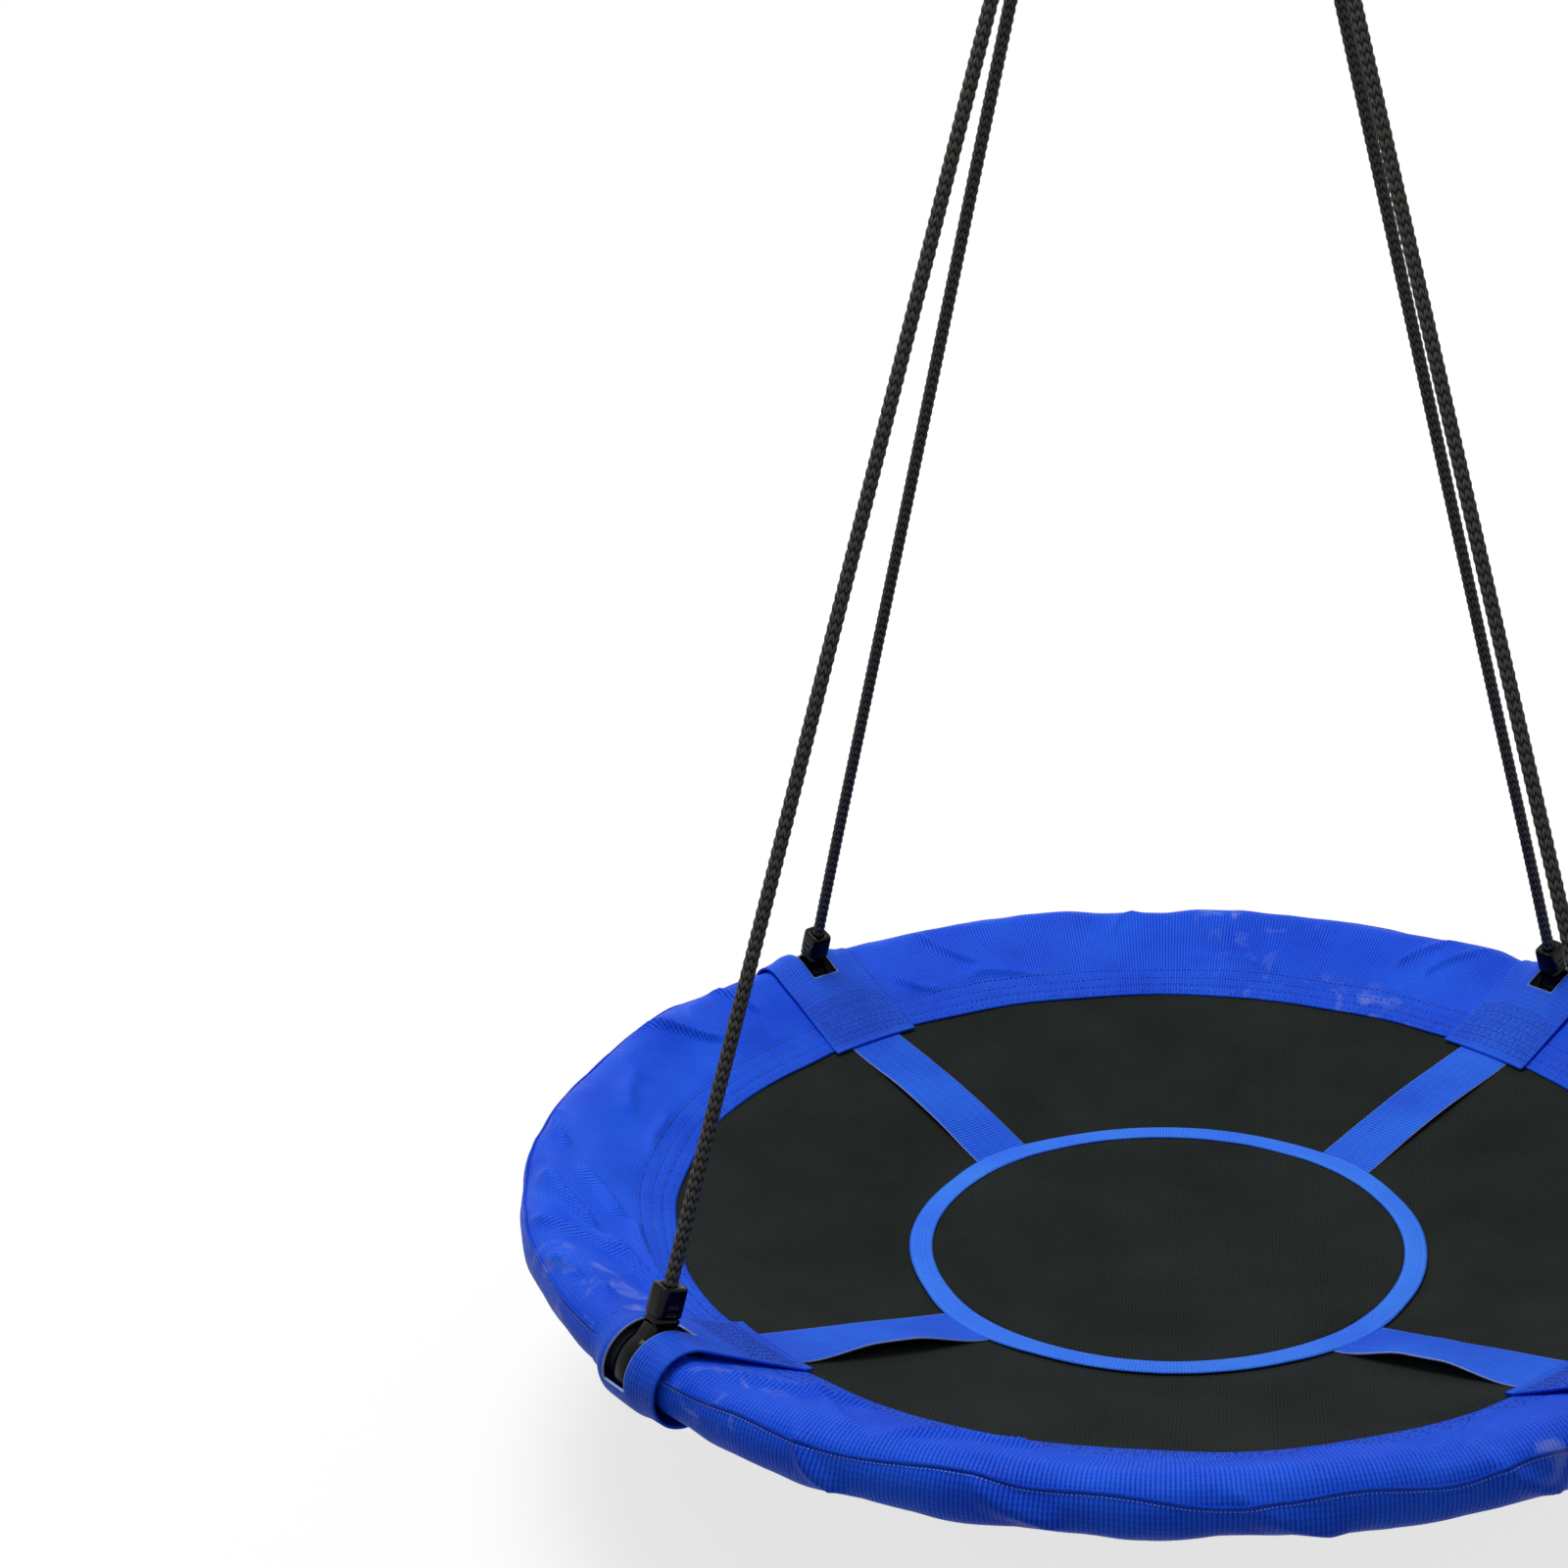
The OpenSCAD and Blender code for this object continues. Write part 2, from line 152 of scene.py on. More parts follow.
# %% Colour and node helpers
def linear(code):
    """An sRGB hex colour as linear RGBA."""
    parts = [int(code[i : i + 2], 16) / 255 for i in (1, 3, 5)]
    parts = [c / 12.92 if c <= 0.04045 else ((c + 0.055) / 1.055) ** 2.4 for c in parts]
    return (*parts, 1)


def add(tree, kind, inputs=(), **settings):
    """Adds a node. Inputs go by order or by name: a value to set, or a node or socket to link."""
    node = tree.nodes.new("ShaderNode" + kind)
    for name, value in settings.items():
        setattr(node, name, value)
    usable = [socket for socket in node.inputs if socket.enabled]
    pairs = inputs.items() if isinstance(inputs, dict) else enumerate(inputs)
    for key, value in pairs:
        socket = usable[key] if isinstance(key, int) else node.inputs[key]
        if isinstance(value, bpy.types.Node):
            value = next(out for out in value.outputs if out.enabled)
        if isinstance(value, bpy.types.NodeSocket):
            tree.links.new(value, socket)
        else:
            socket.default_value = value
    return node


def finish_named(name, colour="#808080", **sockets):
    """A new material, its node tree and its shader. Constants are set on the shader itself."""
    material = bpy.data.materials.new(name)
    material.use_nodes = True
    tree = material.node_tree
    shader = tree.nodes["Principled BSDF"]
    shader.inputs["Base Color"].default_value = linear(colour)
    for socket, value in sockets.items():
        shader.inputs[socket.replace("_", " ")].default_value = value
    return material, tree, shader


def use(tree, shader, colour=None, relief=None, distance=0.0, strength=0.6, roughness=None):
    """Links a colour, a roughness and a relief of a known depth in metres to a shader."""
    if colour is not None:
        tree.links.new(next(o for o in colour.outputs if o.enabled), shader.inputs["Base Color"])
    if roughness is not None:
        tree.links.new(roughness.outputs[0], shader.inputs["Roughness"])
    if relief is not None:
        bump = add(
            tree, "Bump", {"Height": relief.outputs[0], "Distance": distance, "Strength": strength}
        )
        tree.links.new(bump.outputs[0], shader.inputs["Normal"])


print("node helpers ready")

# %% [markdown]
# ### Cloth that shows its thread
# The cover, the webbing and the mat are all polyester, and differ in how the thread lies. Their maps hold
# real lengths in metres: U runs along the rim and V round the tube. So one rib is half a period of a sine,
# and its spacing in millimetres is written as it is. The real ribs are 1 to 2 mm apart, too fine to show from
# two metres, so they are drawn about 3 mm apart, and 5 mm on the heavy patches.
#
# Patches of slightly different blue come from noise. A pale line marks an edge that was cut with a hot knife:
# the mesh says how near each point is to such an edge.

# %% Woven finishes
def woven(name, deep, bright, across, along, share, depth, cut="#c3d0f2", scuffs=0.0, **sockets):
    """Cloth with ribs across and along its map, the first ones with a share of the relief, and scuffs."""
    material, tree, shader = finish_named(name, **sockets)
    length = add(tree, "SeparateXYZ", [add(tree, "UVMap", uv_map="lengths")])
    waves = []
    for socket, pitch in ((length.outputs[0], across), (length.outputs[1], along)):
        turn = add(tree, "Math", [socket, math.pi / pitch], operation="MULTIPLY")
        wave = add(tree, "Math", [turn], operation="SINE")
        waves.append(add(tree, "Math", [wave], operation="ABSOLUTE"))
    over = add(tree, "Math", [waves[0], share], operation="MULTIPLY")
    height = add(tree, "Math", [waves[1], 1 - share, over], operation="MULTIPLY_ADD")
    where = add(tree, "TexCoord").outputs["Object"]
    patchy = add(tree, "TexNoise", {"Vector": where, "Scale": 13.0, "Detail": 5.0})
    fuzz = add(tree, "TexNoise", {"Vector": where, "Scale": 700.0, "Detail": 2.0})
    spots = add(tree, "Math", [patchy, 0.8], operation="MULTIPLY")
    tone = add(tree, "Math", [height, 0.75, spots], operation="MULTIPLY_ADD")
    grain = add(tree, "Math", [fuzz, 0.4, tone], operation="MULTIPLY_ADD")
    factor = add(tree, "MapRange", {"Value": grain, "From Min": 0.6, "From Max": 1.4})
    colour = add(tree, "Mix", [factor, linear(deep), linear(bright)], data_type="RGBA")
    # Scuffs: short chalky streaks, only where the broad noise is high.
    streaks = add(tree, "TexNoise", {"Vector": where, "Scale": 38.0, "Detail": 4.0, "Distortion": 1.1})
    zones = add(tree, "TexNoise", {"Vector": where, "Scale": 5.0, "Detail": 1.0})
    zone = add(tree, "MapRange", {"Value": zones, "From Min": 0.57, "From Max": 0.7})
    streak = add(tree, "MapRange", {"Value": streaks, "From Min": 0.55, "From Max": 0.82, "To Max": scuffs})
    scuffed = add(tree, "Math", [zone, streak], operation="MULTIPLY")
    colour = add(tree, "Mix", [scuffed, colour, linear("#a9bdf6")], data_type="RGBA")
    near = add(tree, "Attribute", attribute_name="cut_edge").outputs["Fac"]
    seared = add(tree, "MapRange", {"Value": near, "From Min": 0.62, "From Max": 0.9})
    colour = add(tree, "Mix", [seared, colour, linear(cut)], data_type="RGBA")
    rough = add(tree, "Math", [fuzz, 0.4, height], operation="MULTIPLY_ADD")
    use(tree, shader, colour, rough, depth)
    return material


# Coated polyester: its film gives a soft gloss, and its ribs run over the rim.
cover_cloth = woven(
    "coated_polyester", "#082cc8", "#2268fc", 3.0 * MM, 3.4 * MM, 0.82, 0.8 * MM,
    scuffs=0.55, Roughness=0.48, Specular_IOR_Level=0.09,
)
# Patch webbing: heavier, with strong ribs along the wrap.
patch_webbing = woven(
    "ribbed_patch_webbing", "#082cc0", "#246af4", 2.8 * MM, 5.2 * MM, 0.8, 0.9 * MM,
    cut="#9fb5ee", Roughness=0.52, Specular_IOR_Level=0.12,
)
# Spoke webbing: its weft makes ribs from edge to edge.
spoke_webbing = woven(
    "ribbed_spoke_webbing", "#0a33c8", "#2c76fc", 9.0 * MM, 2.9 * MM, 0.1, 0.9 * MM,
    Roughness=0.5, Specular_IOR_Level=0.12,
)
# Bias tape: bright filament yarn, so it is paler and has a satin gloss.
bias_tape = woven(
    "satin_bias_tape", "#0f53f4", "#3a8cff", 2.6 * MM, 3.2 * MM, 0.7, 0.5 * MM,
    Roughness=0.42, Specular_IOR_Level=0.16,
)
# Mat cloth: a dense black Oxford weave with a dull surface.
mat_cloth = woven(
    "black_oxford_polyester", "#101311", "#282d2b", 2.6 * MM, 2.6 * MM, 0.5, 0.5 * MM,
    cut="#282d2b", Roughness=0.8, Specular_IOR_Level=0.05,
)
# Sewing thread: bonded polyester, deeper than the cloth that it sinks into, and a paler one on the seams.
sewing_thread, _, _ = finish_named("bonded_polyester_thread", "#0a2a98", Roughness=0.5)
pale_thread, _, _ = finish_named("bonded_polyester_thread_pale", "#7fa6f7", Roughness=0.5)
print("woven finishes:", len([m for m in bpy.data.materials if "poly" in m.name or "web" in m.name]))

# %% [markdown]
# ### Braided rope
# The rope is a solid braid: its strands show as columns of V shapes, like knitting. The map of a rope holds
# turns round it in U and metres along it in V. A V is a phase that runs along the rope and is delayed with
# the distance from the column's middle, so each strand leans towards it from both sides. One rule shapes
# the mesh, and the same rule colours it: the gaps are painted dark as shade and the strand tops pale as a
# painted highlight, so that relief and painted shade agree at the outline too.

# %% Rope finish
ROPE_D = 10 * MM
BRAID_COLUMNS = 7
BRAID_PITCH = 7.0 * MM
BRAID_LEAN = 0.55
# How far the strands rise above the gaps, and the share of it that lies inside the rope's radius.
BRAID_DEPTH = 0.9 * MM
BRAID_LEVEL = 0.8


def braid_relief(turns, along):
    """Height of the strands, from 0 in the gaps to 1 on top."""
    column = turns * BRAID_COLUMNS
    middle = abs(column - math.floor(column) - 0.5) * 2
    strand = abs(math.sin(math.pi * (along / BRAID_PITCH + middle * BRAID_LEAN)))
    return strand * min(1, (1 - middle) * 3 + 0.3) * min(1, middle * 3 + 0.5)


# Solid braid polyester: fine filaments, so dull with a weak sheen.
braid, tree, shader = finish_named("solid_braid_polyester", Roughness=0.6, Specular_IOR_Level=0.15)
turned = add(tree, "SeparateXYZ", [add(tree, "UVMap", uv_map="lengths")])
column = add(tree, "Math", [turned.outputs[0], BRAID_COLUMNS], operation="MULTIPLY")
offset = add(tree, "Math", [add(tree, "Math", [column], operation="FRACT"), 0.5], operation="SUBTRACT")
middle = add(tree, "Math", [add(tree, "Math", [offset], operation="ABSOLUTE"), 2.0], operation="MULTIPLY")
steps_up = add(tree, "Math", [turned.outputs[1], BRAID_PITCH], operation="DIVIDE")
phase = add(tree, "Math", [middle, BRAID_LEAN, steps_up], operation="MULTIPLY_ADD")
strands = []
for count in (1, 6):
    turn = add(tree, "Math", [phase, count * math.pi], operation="MULTIPLY")
    wave = add(tree, "Math", [turn], operation="SINE")
    strands.append(add(tree, "Math", [wave], operation="ABSOLUTE"))
rim_fall = add(tree, "MapRange", {"Value": middle, "From Min": 1.1, "From Max": 0.77})
core_fall = add(tree, "MapRange", {"Value": middle, "From Min": -0.17, "From Max": 0.17})
falls = add(tree, "Math", [rim_fall, core_fall], operation="MULTIPLY")
# Painted shade and highlight: the colour is dark in the gaps between strands and pale on the strand tops.
height = add(tree, "Math", [strands[0], falls], operation="MULTIPLY")
tone = add(tree, "Math", [strands[1], 0.22, height], operation="MULTIPLY_ADD")
factor = add(tree, "MapRange", {"Value": tone, "From Min": 0.42, "From Max": 1.1})
colour = add(tree, "Mix", [factor, linear("#010101"), linear("#6b6a65")], data_type="RGBA")
use(tree, shader, colour, tone, distance=0.8 * MM, strength=0.9)
print(braid.name, BRAID_COLUMNS, "columns, a stitch every", round(BRAID_PITCH / MM, 1), "mm")

# %% [markdown]
# ## Ropes
# Each rope is one length: from its moulded eye on the rim up to a hook ring, over the wire, and back down to
# an adjuster that grips it. Its route repeats the points of the part's source, and the ropes on the other
# side are the same two routes turned half round.
#
# A curve object could follow the points, but the braid needs a map of its own and a surface that swells and
# dips. So a circle is extruded ring by ring along a smoothed path, and its points are then moved by the
# braid's rule. The rope is cut where it bends.

# %% Routes
FRONT_ROUTE = [
    (-327, -327, -1226.5), (-297.5, -296, -1110), (-269, -267, -1000), (-192, -188, -700),
    (-115, -108.5, -400), (-54.5, -46.5, -165), (-31.5, -22.5, -76), (-21.5, -12, -34),
    (-19.5, -11.5, -29), (-16, -9.5, -26.5), (-11.5, -7.5, -26.5), (-7, -6, -28.5), (-5, -5, -33),
    (-6, -5, -40), (-24, -20, -100), (-43.5, -38, -170), (-71, -63.5, -269), (-83.2, -76.2, -317.2),
]
BACK_ROUTE = [
    (-327, 327, -1226.5), (-298, 294, -1110), (-270, 264, -1000), (-194, 181.5, -700),
    (-118.5, 99, -400), (-59, 34, -165), (-36.5, 9.5, -76), (-26, -2, -34), (-24, -1.5, -29),
    (-20.5, 0.5, -26.5), (-16, 2.5, -26.5), (-11.5, 4, -28.5), (-9.5, 5, -33), (-10.5, 5.5, -40),
    (-28, 13, -100), (-47.5, 29, -170), (-75, 51.7, -269.3), (-87.1, 64.9, -317.3),
]
# Where each rope is cut into an end, a leg, a loop and a tail.
CUTS = (2, 5, 15)
# The distance between two rings of a rope.
ROPE_STEP = 1.9 * MM


def rope_route(number):
    """A rope's route in metres. Ropes 3 and 4 are ropes 1 and 2 turned half round."""
    turn = Matrix.Rotation(math.pi if number > 2 else 0, 3, "Z")
    return [turn @ (Vector(p) * MM) for p in (FRONT_ROUTE if number in (1, 3) else BACK_ROUTE)]


def smooth_path(points, spacing):
    """Points about a spacing apart on a curve through all the given ones, and each given one's place."""
    knots = [2 * points[0] - points[1], *points, 2 * points[-1] - points[-2]]
    path, given = [], []
    for k in range(len(knots) - 3):
        p0, p1, p2, p3 = knots[k : k + 4]
        d0, d1, d2 = ((b - a).length ** 0.5 for a, b in ((p0, p1), (p1, p2), (p2, p3)))
        m1 = (p1 - p0) / d0 - (p2 - p0) / (d0 + d1) + (p2 - p1) / d1
        m2 = (p2 - p1) / d1 - (p3 - p1) / (d1 + d2) + (p3 - p2) / d2
        given.append(len(path))
        count = max(1, round((p2 - p1).length / spacing))
        for t in (j / count for j in range(count)):
            path.append(
                (2 * t**3 - 3 * t**2 + 1) * p1
                + (t**3 - 2 * t**2 + t) * m1 * d1
                + (-2 * t**3 + 3 * t**2) * p2
                + (t**3 - t**2) * m2 * d1
            )
    return [*path, points[-1]], [*given, len(path)]


print("routes of", len(FRONT_ROUTE), "points")

# %% [markdown]
# ### A tube along a path
# A frame is carried along the path without twisting: at each point the last sideways direction is laid flat
# against the new heading. Each new ring is the last one moved from frame to frame.

# %% Swept tube
def extruded(bm, edges):
    """Extrudes a ring of edges in place, and returns the new ring's edges and corners."""
    made = bmesh.ops.extrude_edge_only(bm, edges=edges)["geom"]
    edges = [g for g in made if isinstance(g, bmesh.types.BMEdge)]
    return edges, [g for g in made if isinstance(g, bmesh.types.BMVert)]


def frames_along(path):
    """For each point a matrix that puts a flat ring there, square to the path."""
    frames, side = [], None
    for k, point in enumerate(path):
        ahead = (path[min(k + 1, len(path) - 1)] - path[max(k - 1, 0)]).normalized()
        side = ahead.orthogonal() if side is None else side
        side = (side - side.dot(ahead) * ahead).normalized()
        frames.append(Matrix((side, ahead.cross(side), ahead)).transposed().to_4x4())
        frames[-1].translation = point
    return frames


def swept_tube(path, radius, sides, start=0.0, relief=None):
    """A circle extruded along a path. Its map holds turns and metres, and relief(turns, along) lifts it."""
    bm = bmesh.new()
    corners = bmesh.ops.create_circle(bm, segments=sides, radius=radius)["verts"]
    edges = list(bm.edges)
    turns = {v: math.atan2(v.co.y, v.co.x) / math.tau % 1 for v in corners}
    bmesh.ops.contextual_create(bm, geom=edges)
    frames, along = frames_along(path), start
    bmesh.ops.transform(bm, matrix=frames[0], verts=corners)
    place = {v: (turns[v], along, frames[0].translation) for v in corners}
    for last, frame_here in zip(frames, frames[1:]):
        edges, corners = extruded(bm, edges)
        bmesh.ops.transform(bm, matrix=frame_here @ last.inverted(), verts=corners)
        along += (frame_here.translation - last.translation).length
        back = frame_here.inverted()
        for v in corners:
            flat = back @ v.co
            turn = math.atan2(flat.y, flat.x) / math.tau % 1
            place[v] = (turn, along, frame_here.translation)
    bmesh.ops.contextual_create(bm, geom=edges)
    uv = bm.loops.layers.uv.new("lengths")
    for face in bm.faces:
        highest = max(place[v][0] for v in face.verts)
        for loop in face.loops:
            turn, far, _ = place[loop.vert]
            loop[uv].uv = (turn + (highest - turn > 0.5), far)
    for v, (turn, far, centre) in place.items():
        if relief:
            v.co += (v.co - centre).normalized() * relief(turn, far)
    bmesh.ops.recalc_face_normals(bm, faces=bm.faces)
    return bm


def finished(bm, name, material, body=None, replaces=()):
    """Makes a bmesh a smooth piece that sits at the origin and rides on a body."""
    mesh = bpy.data.meshes.new(name)
    for face in bm.faces:
        face.smooth = True
    bm.to_mesh(mesh)
    bm.free()
    mesh.materials.append(material)
    piece = bpy.data.objects.new(name, mesh)
    bpy.context.scene.collection.objects.link(piece)
    if body:
        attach(piece, body)
    if replaces:
        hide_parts(*replaces)
    return piece


def braided(path, start=0.0, sides=28):
    """A swept tube with the braid's relief."""
    return swept_tube(
        path, ROPE_D / 2, sides, start,
        lambda turn, far: (braid_relief(turn, far) - BRAID_LEVEL) * BRAID_DEPTH,
    )


print("swept tube ready")

# %% [markdown]
# The four stretches of each rope are made from one path, so that their ends meet and the braid runs on.

# %% Ropes
ropes = {}
for number in HANGERS:
    path, given = smooth_path(rope_route(number), ROPE_STEP)
    cuts = [0, *(given[k] for k in CUTS), len(path) - 1]
    start = 0
    for part, first, last in zip(("end", "leg", "loop", "tail"), cuts, cuts[1:]):
        stretch = path[first : last + 1]
        length = sum((q - p).length for p, q in zip(stretch, stretch[1:]))
        piece = finished(
            braided(stretch, start), f"rope_{part}_{number}_braid", braid, None,
            [f"rope_{part}_{number}"],
        )
        ropes[part, number] = (piece, stretch, length)
        start += length
    print(f"rope {number}: {start:.3f} m")

# %% [markdown]
# ### Barrel knots
# The free end of a rope is stopped by a barrel knot, so that it can't slip out of its adjuster. The rope is
# wound round more than twice and leaves through the middle. The knot is the same braided tube on a short
# helix.

# %% Knots
KNOT_D = 27 * MM
KNOT_SIDE = (ROPE_D + KNOT_D) / 2 + 0.2 * MM
KNOT_DROP = 27.6 * MM
KNOT_STEP = 1.7 * MM
ADJUSTER_Z = -0.300
# The helix: its radius, top and height in millimetres, then its turns and how many steps it has.
HELIX_R, HELIX_TOP, HELIX_HEIGHT = 8.0, 9.0, 18.6
HELIX_TURNS, HELIX_STEPS = 2.35, 28


def leg_frame(number):
    """Z runs up the rope's leg from its adjuster, and X points inwards."""
    route = rope_route(number)
    low, high = (route[k] for k in CUTS[:2])
    up = (high - low).normalized()
    place = Matrix.Translation(low + up * (ADJUSTER_Z - low.z) / up.z)
    lean = Matrix.Rotation(math.acos(up.z), 4, "Y")
    return place @ Matrix.Rotation(math.atan2(up.y, up.x), 4, "Z") @ lean


def knot_path():
    """The rope's middle line in the knot, in its own frame."""
    line = [Vector((-4.7, 0, 14.2)), Vector((-6.6, 0.2, 11.6))]
    for k in range(HELIX_STEPS + 1):
        angle = math.pi + math.tau * HELIX_TURNS * k / HELIX_STEPS
        z = HELIX_TOP - HELIX_HEIGHT * k / HELIX_STEPS
        line.append(Vector((HELIX_R * math.cos(angle), HELIX_R * math.sin(angle), z)))
    line += [Vector((-4.2, -3.4, -13.0)), Vector((-1.0, -0.6, -18.0)), Vector((0, 0, -29.5))]
    return [p * MM for p in line]


for number in HANGERS:
    place = leg_frame(number) @ Matrix.Translation((KNOT_SIDE, 0, -KNOT_DROP))
    path, _ = smooth_path([place @ p for p in knot_path()], KNOT_STEP)
    ropes["knot", number] = finished(
        braided(path, sides=20), f"barrel_knot_{number}", braid, f"slider_{number}",
        [f"stopper_knot_{number}"],
    )
print("barrel knots: 4, of", len(path), "rings")

for number in HANGERS:
    for part in ("end", "leg", "loop", "tail"):
        piece, stretch, length = ropes[part, number]
        low, high = sorted((stretch[0], stretch[-1]), key=lambda p: p.z)
        if part == "end":
            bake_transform(piece)
        elif part == "tail":
            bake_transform(piece)
        else:
            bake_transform(piece)

# %% [markdown]
# ## The cover's section
# The cover is a sleeve. It runs from the edge of the mat over the top of the rim tube, round its outside and
# back underneath, and both edges are sewn to the mat. Its section is drawn once, as a list of points with
# their outward directions, and every sewn piece that follows the rim uses it with its own radius.

# %% Section round the rim
FLAP_GAP = 1.75 * MM


def section(radius, half_edge=FLAP_GAP, tail=0.0, count=400):
    """Points and outward directions from the top inner edge round to the lower one, as (radial, height)."""
    lean = math.asin((radius - half_edge) / FLAP)
    corner = Vector((FLAP - radius * math.sin(lean), radius * math.cos(lean)))
    edge = Vector((0, half_edge))
    flap, bend = (corner - edge).length, radius * (math.pi + 2 * lean)
    total = tail + 2 * flap + bend
    turn = Matrix.Rotation(SLOPE, 2)
    centre = Vector((MAT_R, EDGE_Z))
    out = Vector((-math.sin(lean), math.cos(lean)))
    points = []
    for k in range(count + 1):
        s = total * k / count - tail
        if s < 0:
            p, n = Vector((s, half_edge)), Vector((0, 1))
        elif s < flap:
            p, n = edge.lerp(corner, s / flap), out.copy()
        elif s < flap + bend:
            a = math.pi / 2 + lean - (s - flap) / radius
            n = Vector((math.cos(a), math.sin(a)))
            p = Vector((FLAP, 0)) + radius * n
        else:
            low = Vector((edge.x, -edge.y))
            p = Vector((corner.x, -corner.y)).lerp(low, (s - flap - bend) / flap)
            n = Vector((out.x, -out.y))
        points.append((centre + turn @ p, turn @ n))
    return points, total


def at_share(points, share):
    """The point and direction at a share of the section's length."""
    x = min(max(share, 0), 1) * (len(points) - 1)
    k = min(int(x), len(points) - 2)
    (p0, n0), (p1, n1) = points[k], points[k + 1]
    return p0.lerp(p1, x - k), n0.lerp(n1, x - k).normalized()


cover_section, COVER_L = section(PAD_R)
QUARTER = RIM_R * math.pi / 2
print(f"the cover's cloth is {COVER_L:.3f} m round and {QUARTER:.3f} m long in each quarter")

# %% [markdown]
# ### Creases
# Slack cloth over foam falls into a few long creases and many shallow dents. The long ones run slantwise
# from the hanging points, where the patches pull, and are listed one by one. The dents are noise, cut off at
# the sewn edges and under the patches. Below the piped seam the cloth hangs in upright folds. Everything but
# the stitches is pushed outwards, so the cover never sinks into the foam or the mat.

# %% Relief of the cover
# From and to, as millimetres along the rim and across the cover, then half width and height in millimetres.
CREASES = {
    1: [
        (62, 104, 165, 38, 13, 3.0), (110, 60, 190, 100, 16, 1.6), (205, 106, 300, 34, 12, 2.7),
        (95, 30, 180, 20, 10, 1.0), (330, 60, 420, 90, 22, 1.3), (480, 50, 560, 95, 22, 1.5),
        (560, 100, 660, 30, 14, 2.2), (270, 120, 330, 150, 15, 2.4), (150, 118, 190, 150, 12, 2.6),
        (420, 118, 500, 152, 18, 2.2), (590, 120, 640, 150, 14, 2.2),
    ],
    2: [
        (690, 35, 560, 75, 13, 2.8), (560, 75, 470, 108, 15, 3.0), (690, 92, 600, 118, 12, 2.2),
        (650, 25, 520, 42, 11, 1.9), (520, 42, 455, 84, 12, 2.0), (430, 96, 360, 118, 10, 1.8),
        (330, 60, 260, 92, 18, 1.5), (205, 112, 150, 62, 9, 2.0), (110, 112, 90, 70, 8, 1.6),
        (380, 28, 300, 40, 12, 1.3), (610, 60, 540, 118, 14, 2.0),
    ],
    3: [
        (80, 108, 125, 60, 8, 1.9), (112, 110, 160, 62, 9, 2.0), (640, 104, 590, 50, 10, 1.7),
        (270, 40, 380, 52, 14, 1.0), (420, 112, 450, 80, 10, 1.2), (520, 32, 610, 44, 10, 1.4),
        (690, 60, 640, 30, 10, 1.3),
    ],
    4: [
        (70, 100, 170, 40, 13, 2.7), (180, 108, 260, 52, 13, 2.3), (300, 96, 420, 60, 18, 1.7),
        (470, 44, 560, 100, 15, 2.1), (600, 104, 690, 42, 12, 2.5), (250, 30, 360, 26, 10, 1.2),
    ],
}
STITCH_ROWS = (5 * MM, 12 * MM, 21 * MM, 31 * MM)
STITCH_SINK, STITCH_SPREAD = 1.0 * MM, 1.9 * MM
# What each quarter's heights are multiplied by. The left one is the slackest, so its creases stand highest.
CREASE_GAIN = {1: 2.5, 2: 3.3, 3: 2.4, 4: 2.5}
# Creases are narrowed, and the power gives them a sharp crest.
CREASE_NARROW, CREASE_POWER = 0.78, 1.4


def crease_height(number, along, across):
    """Height of the listed creases of one quarter."""
    total = 0
    for x0, y0, x1, y1, width, height in CREASES[number]:
        start, run = Vector((x0, y0)) * MM, Vector((x1 - x0, y1 - y0)) * MM
        here = Vector((along, across)) - start
        share = min(1, max(0, here.dot(run) / run.length_squared))
        # A crease wanders a little and fades at both ends.
        drift = math.sin(share * 5 + x0) * 3 * MM
        side = run.orthogonal().normalized()
        near = (here - run * share - side * drift).length / (CREASE_NARROW * width * MM)
        if near < 1:
            fade = min(1, 5 * share + 0.15) * min(1, 5 * (1 - share) + 0.15)
            total += CREASE_GAIN[number] * height * MM * (1 - near) ** CREASE_POWER * fade
    return total


def cover_relief(number, along, across):
    """How far the cover stands out from its section, in metres."""
    ends = ease(44 * MM, 80 * MM, along) * ease(44 * MM, 80 * MM, QUARTER - along)
    hem = ease(4 * MM, 46 * MM, across) * ease(0, 40 * MM, COVER_L - across)
    spot = Vector((along * 11, across * 15, number * 7.3))
    broad = max(-0.15, noise.noise(spot) + 0.2) * 4.6 * MM
    fine = noise.noise(spot * 3.1) * 1.1 * MM
    outside = ease(108 * MM, 122 * MM, across) * ease(0, 20 * MM, 176 * MM - across)
    folds = max(0, noise.noise(Vector((along * 17, across * 3, number * 4.1)))) * 4.2 * MM
    lift = 0.45 * MM + ends * hem * (broad + fine + crease_height(number, along, across))
    lift += ends * outside * folds
    puckers = 0.6 + 0.4 * math.sin(along * math.tau / (9 * MM) + 2 * math.sin(along * 60))
    for row in STITCH_ROWS:
        lift -= STITCH_SINK * puckers * math.exp(-(((across - row) / STITCH_SPREAD) ** 2))
    return lift


def rim_point(number, along, across, lift):
    """A point of one quarter of the cover, lifted off its section."""
    flat, out = at_share(cover_section, across / COVER_L)
    angle = hanger_angle(number) + along / RIM_R
    # The sewn edge wavers a little between the hanging points.
    ends = ease(40 * MM, 100 * MM, along) * ease(40 * MM, 100 * MM, QUARTER - along)
    waver = noise.noise(Vector((along * 9, number * 5.7, 1.3))) * 4.5 * MM * ends
    inner = 1 - ease(0, 60 * MM, min(across, COVER_L - across))
    radius = flat.x + out.x * lift + waver * inner
    return Vector((radius * math.cos(angle), radius * math.sin(angle), flat.y + out.y * lift))


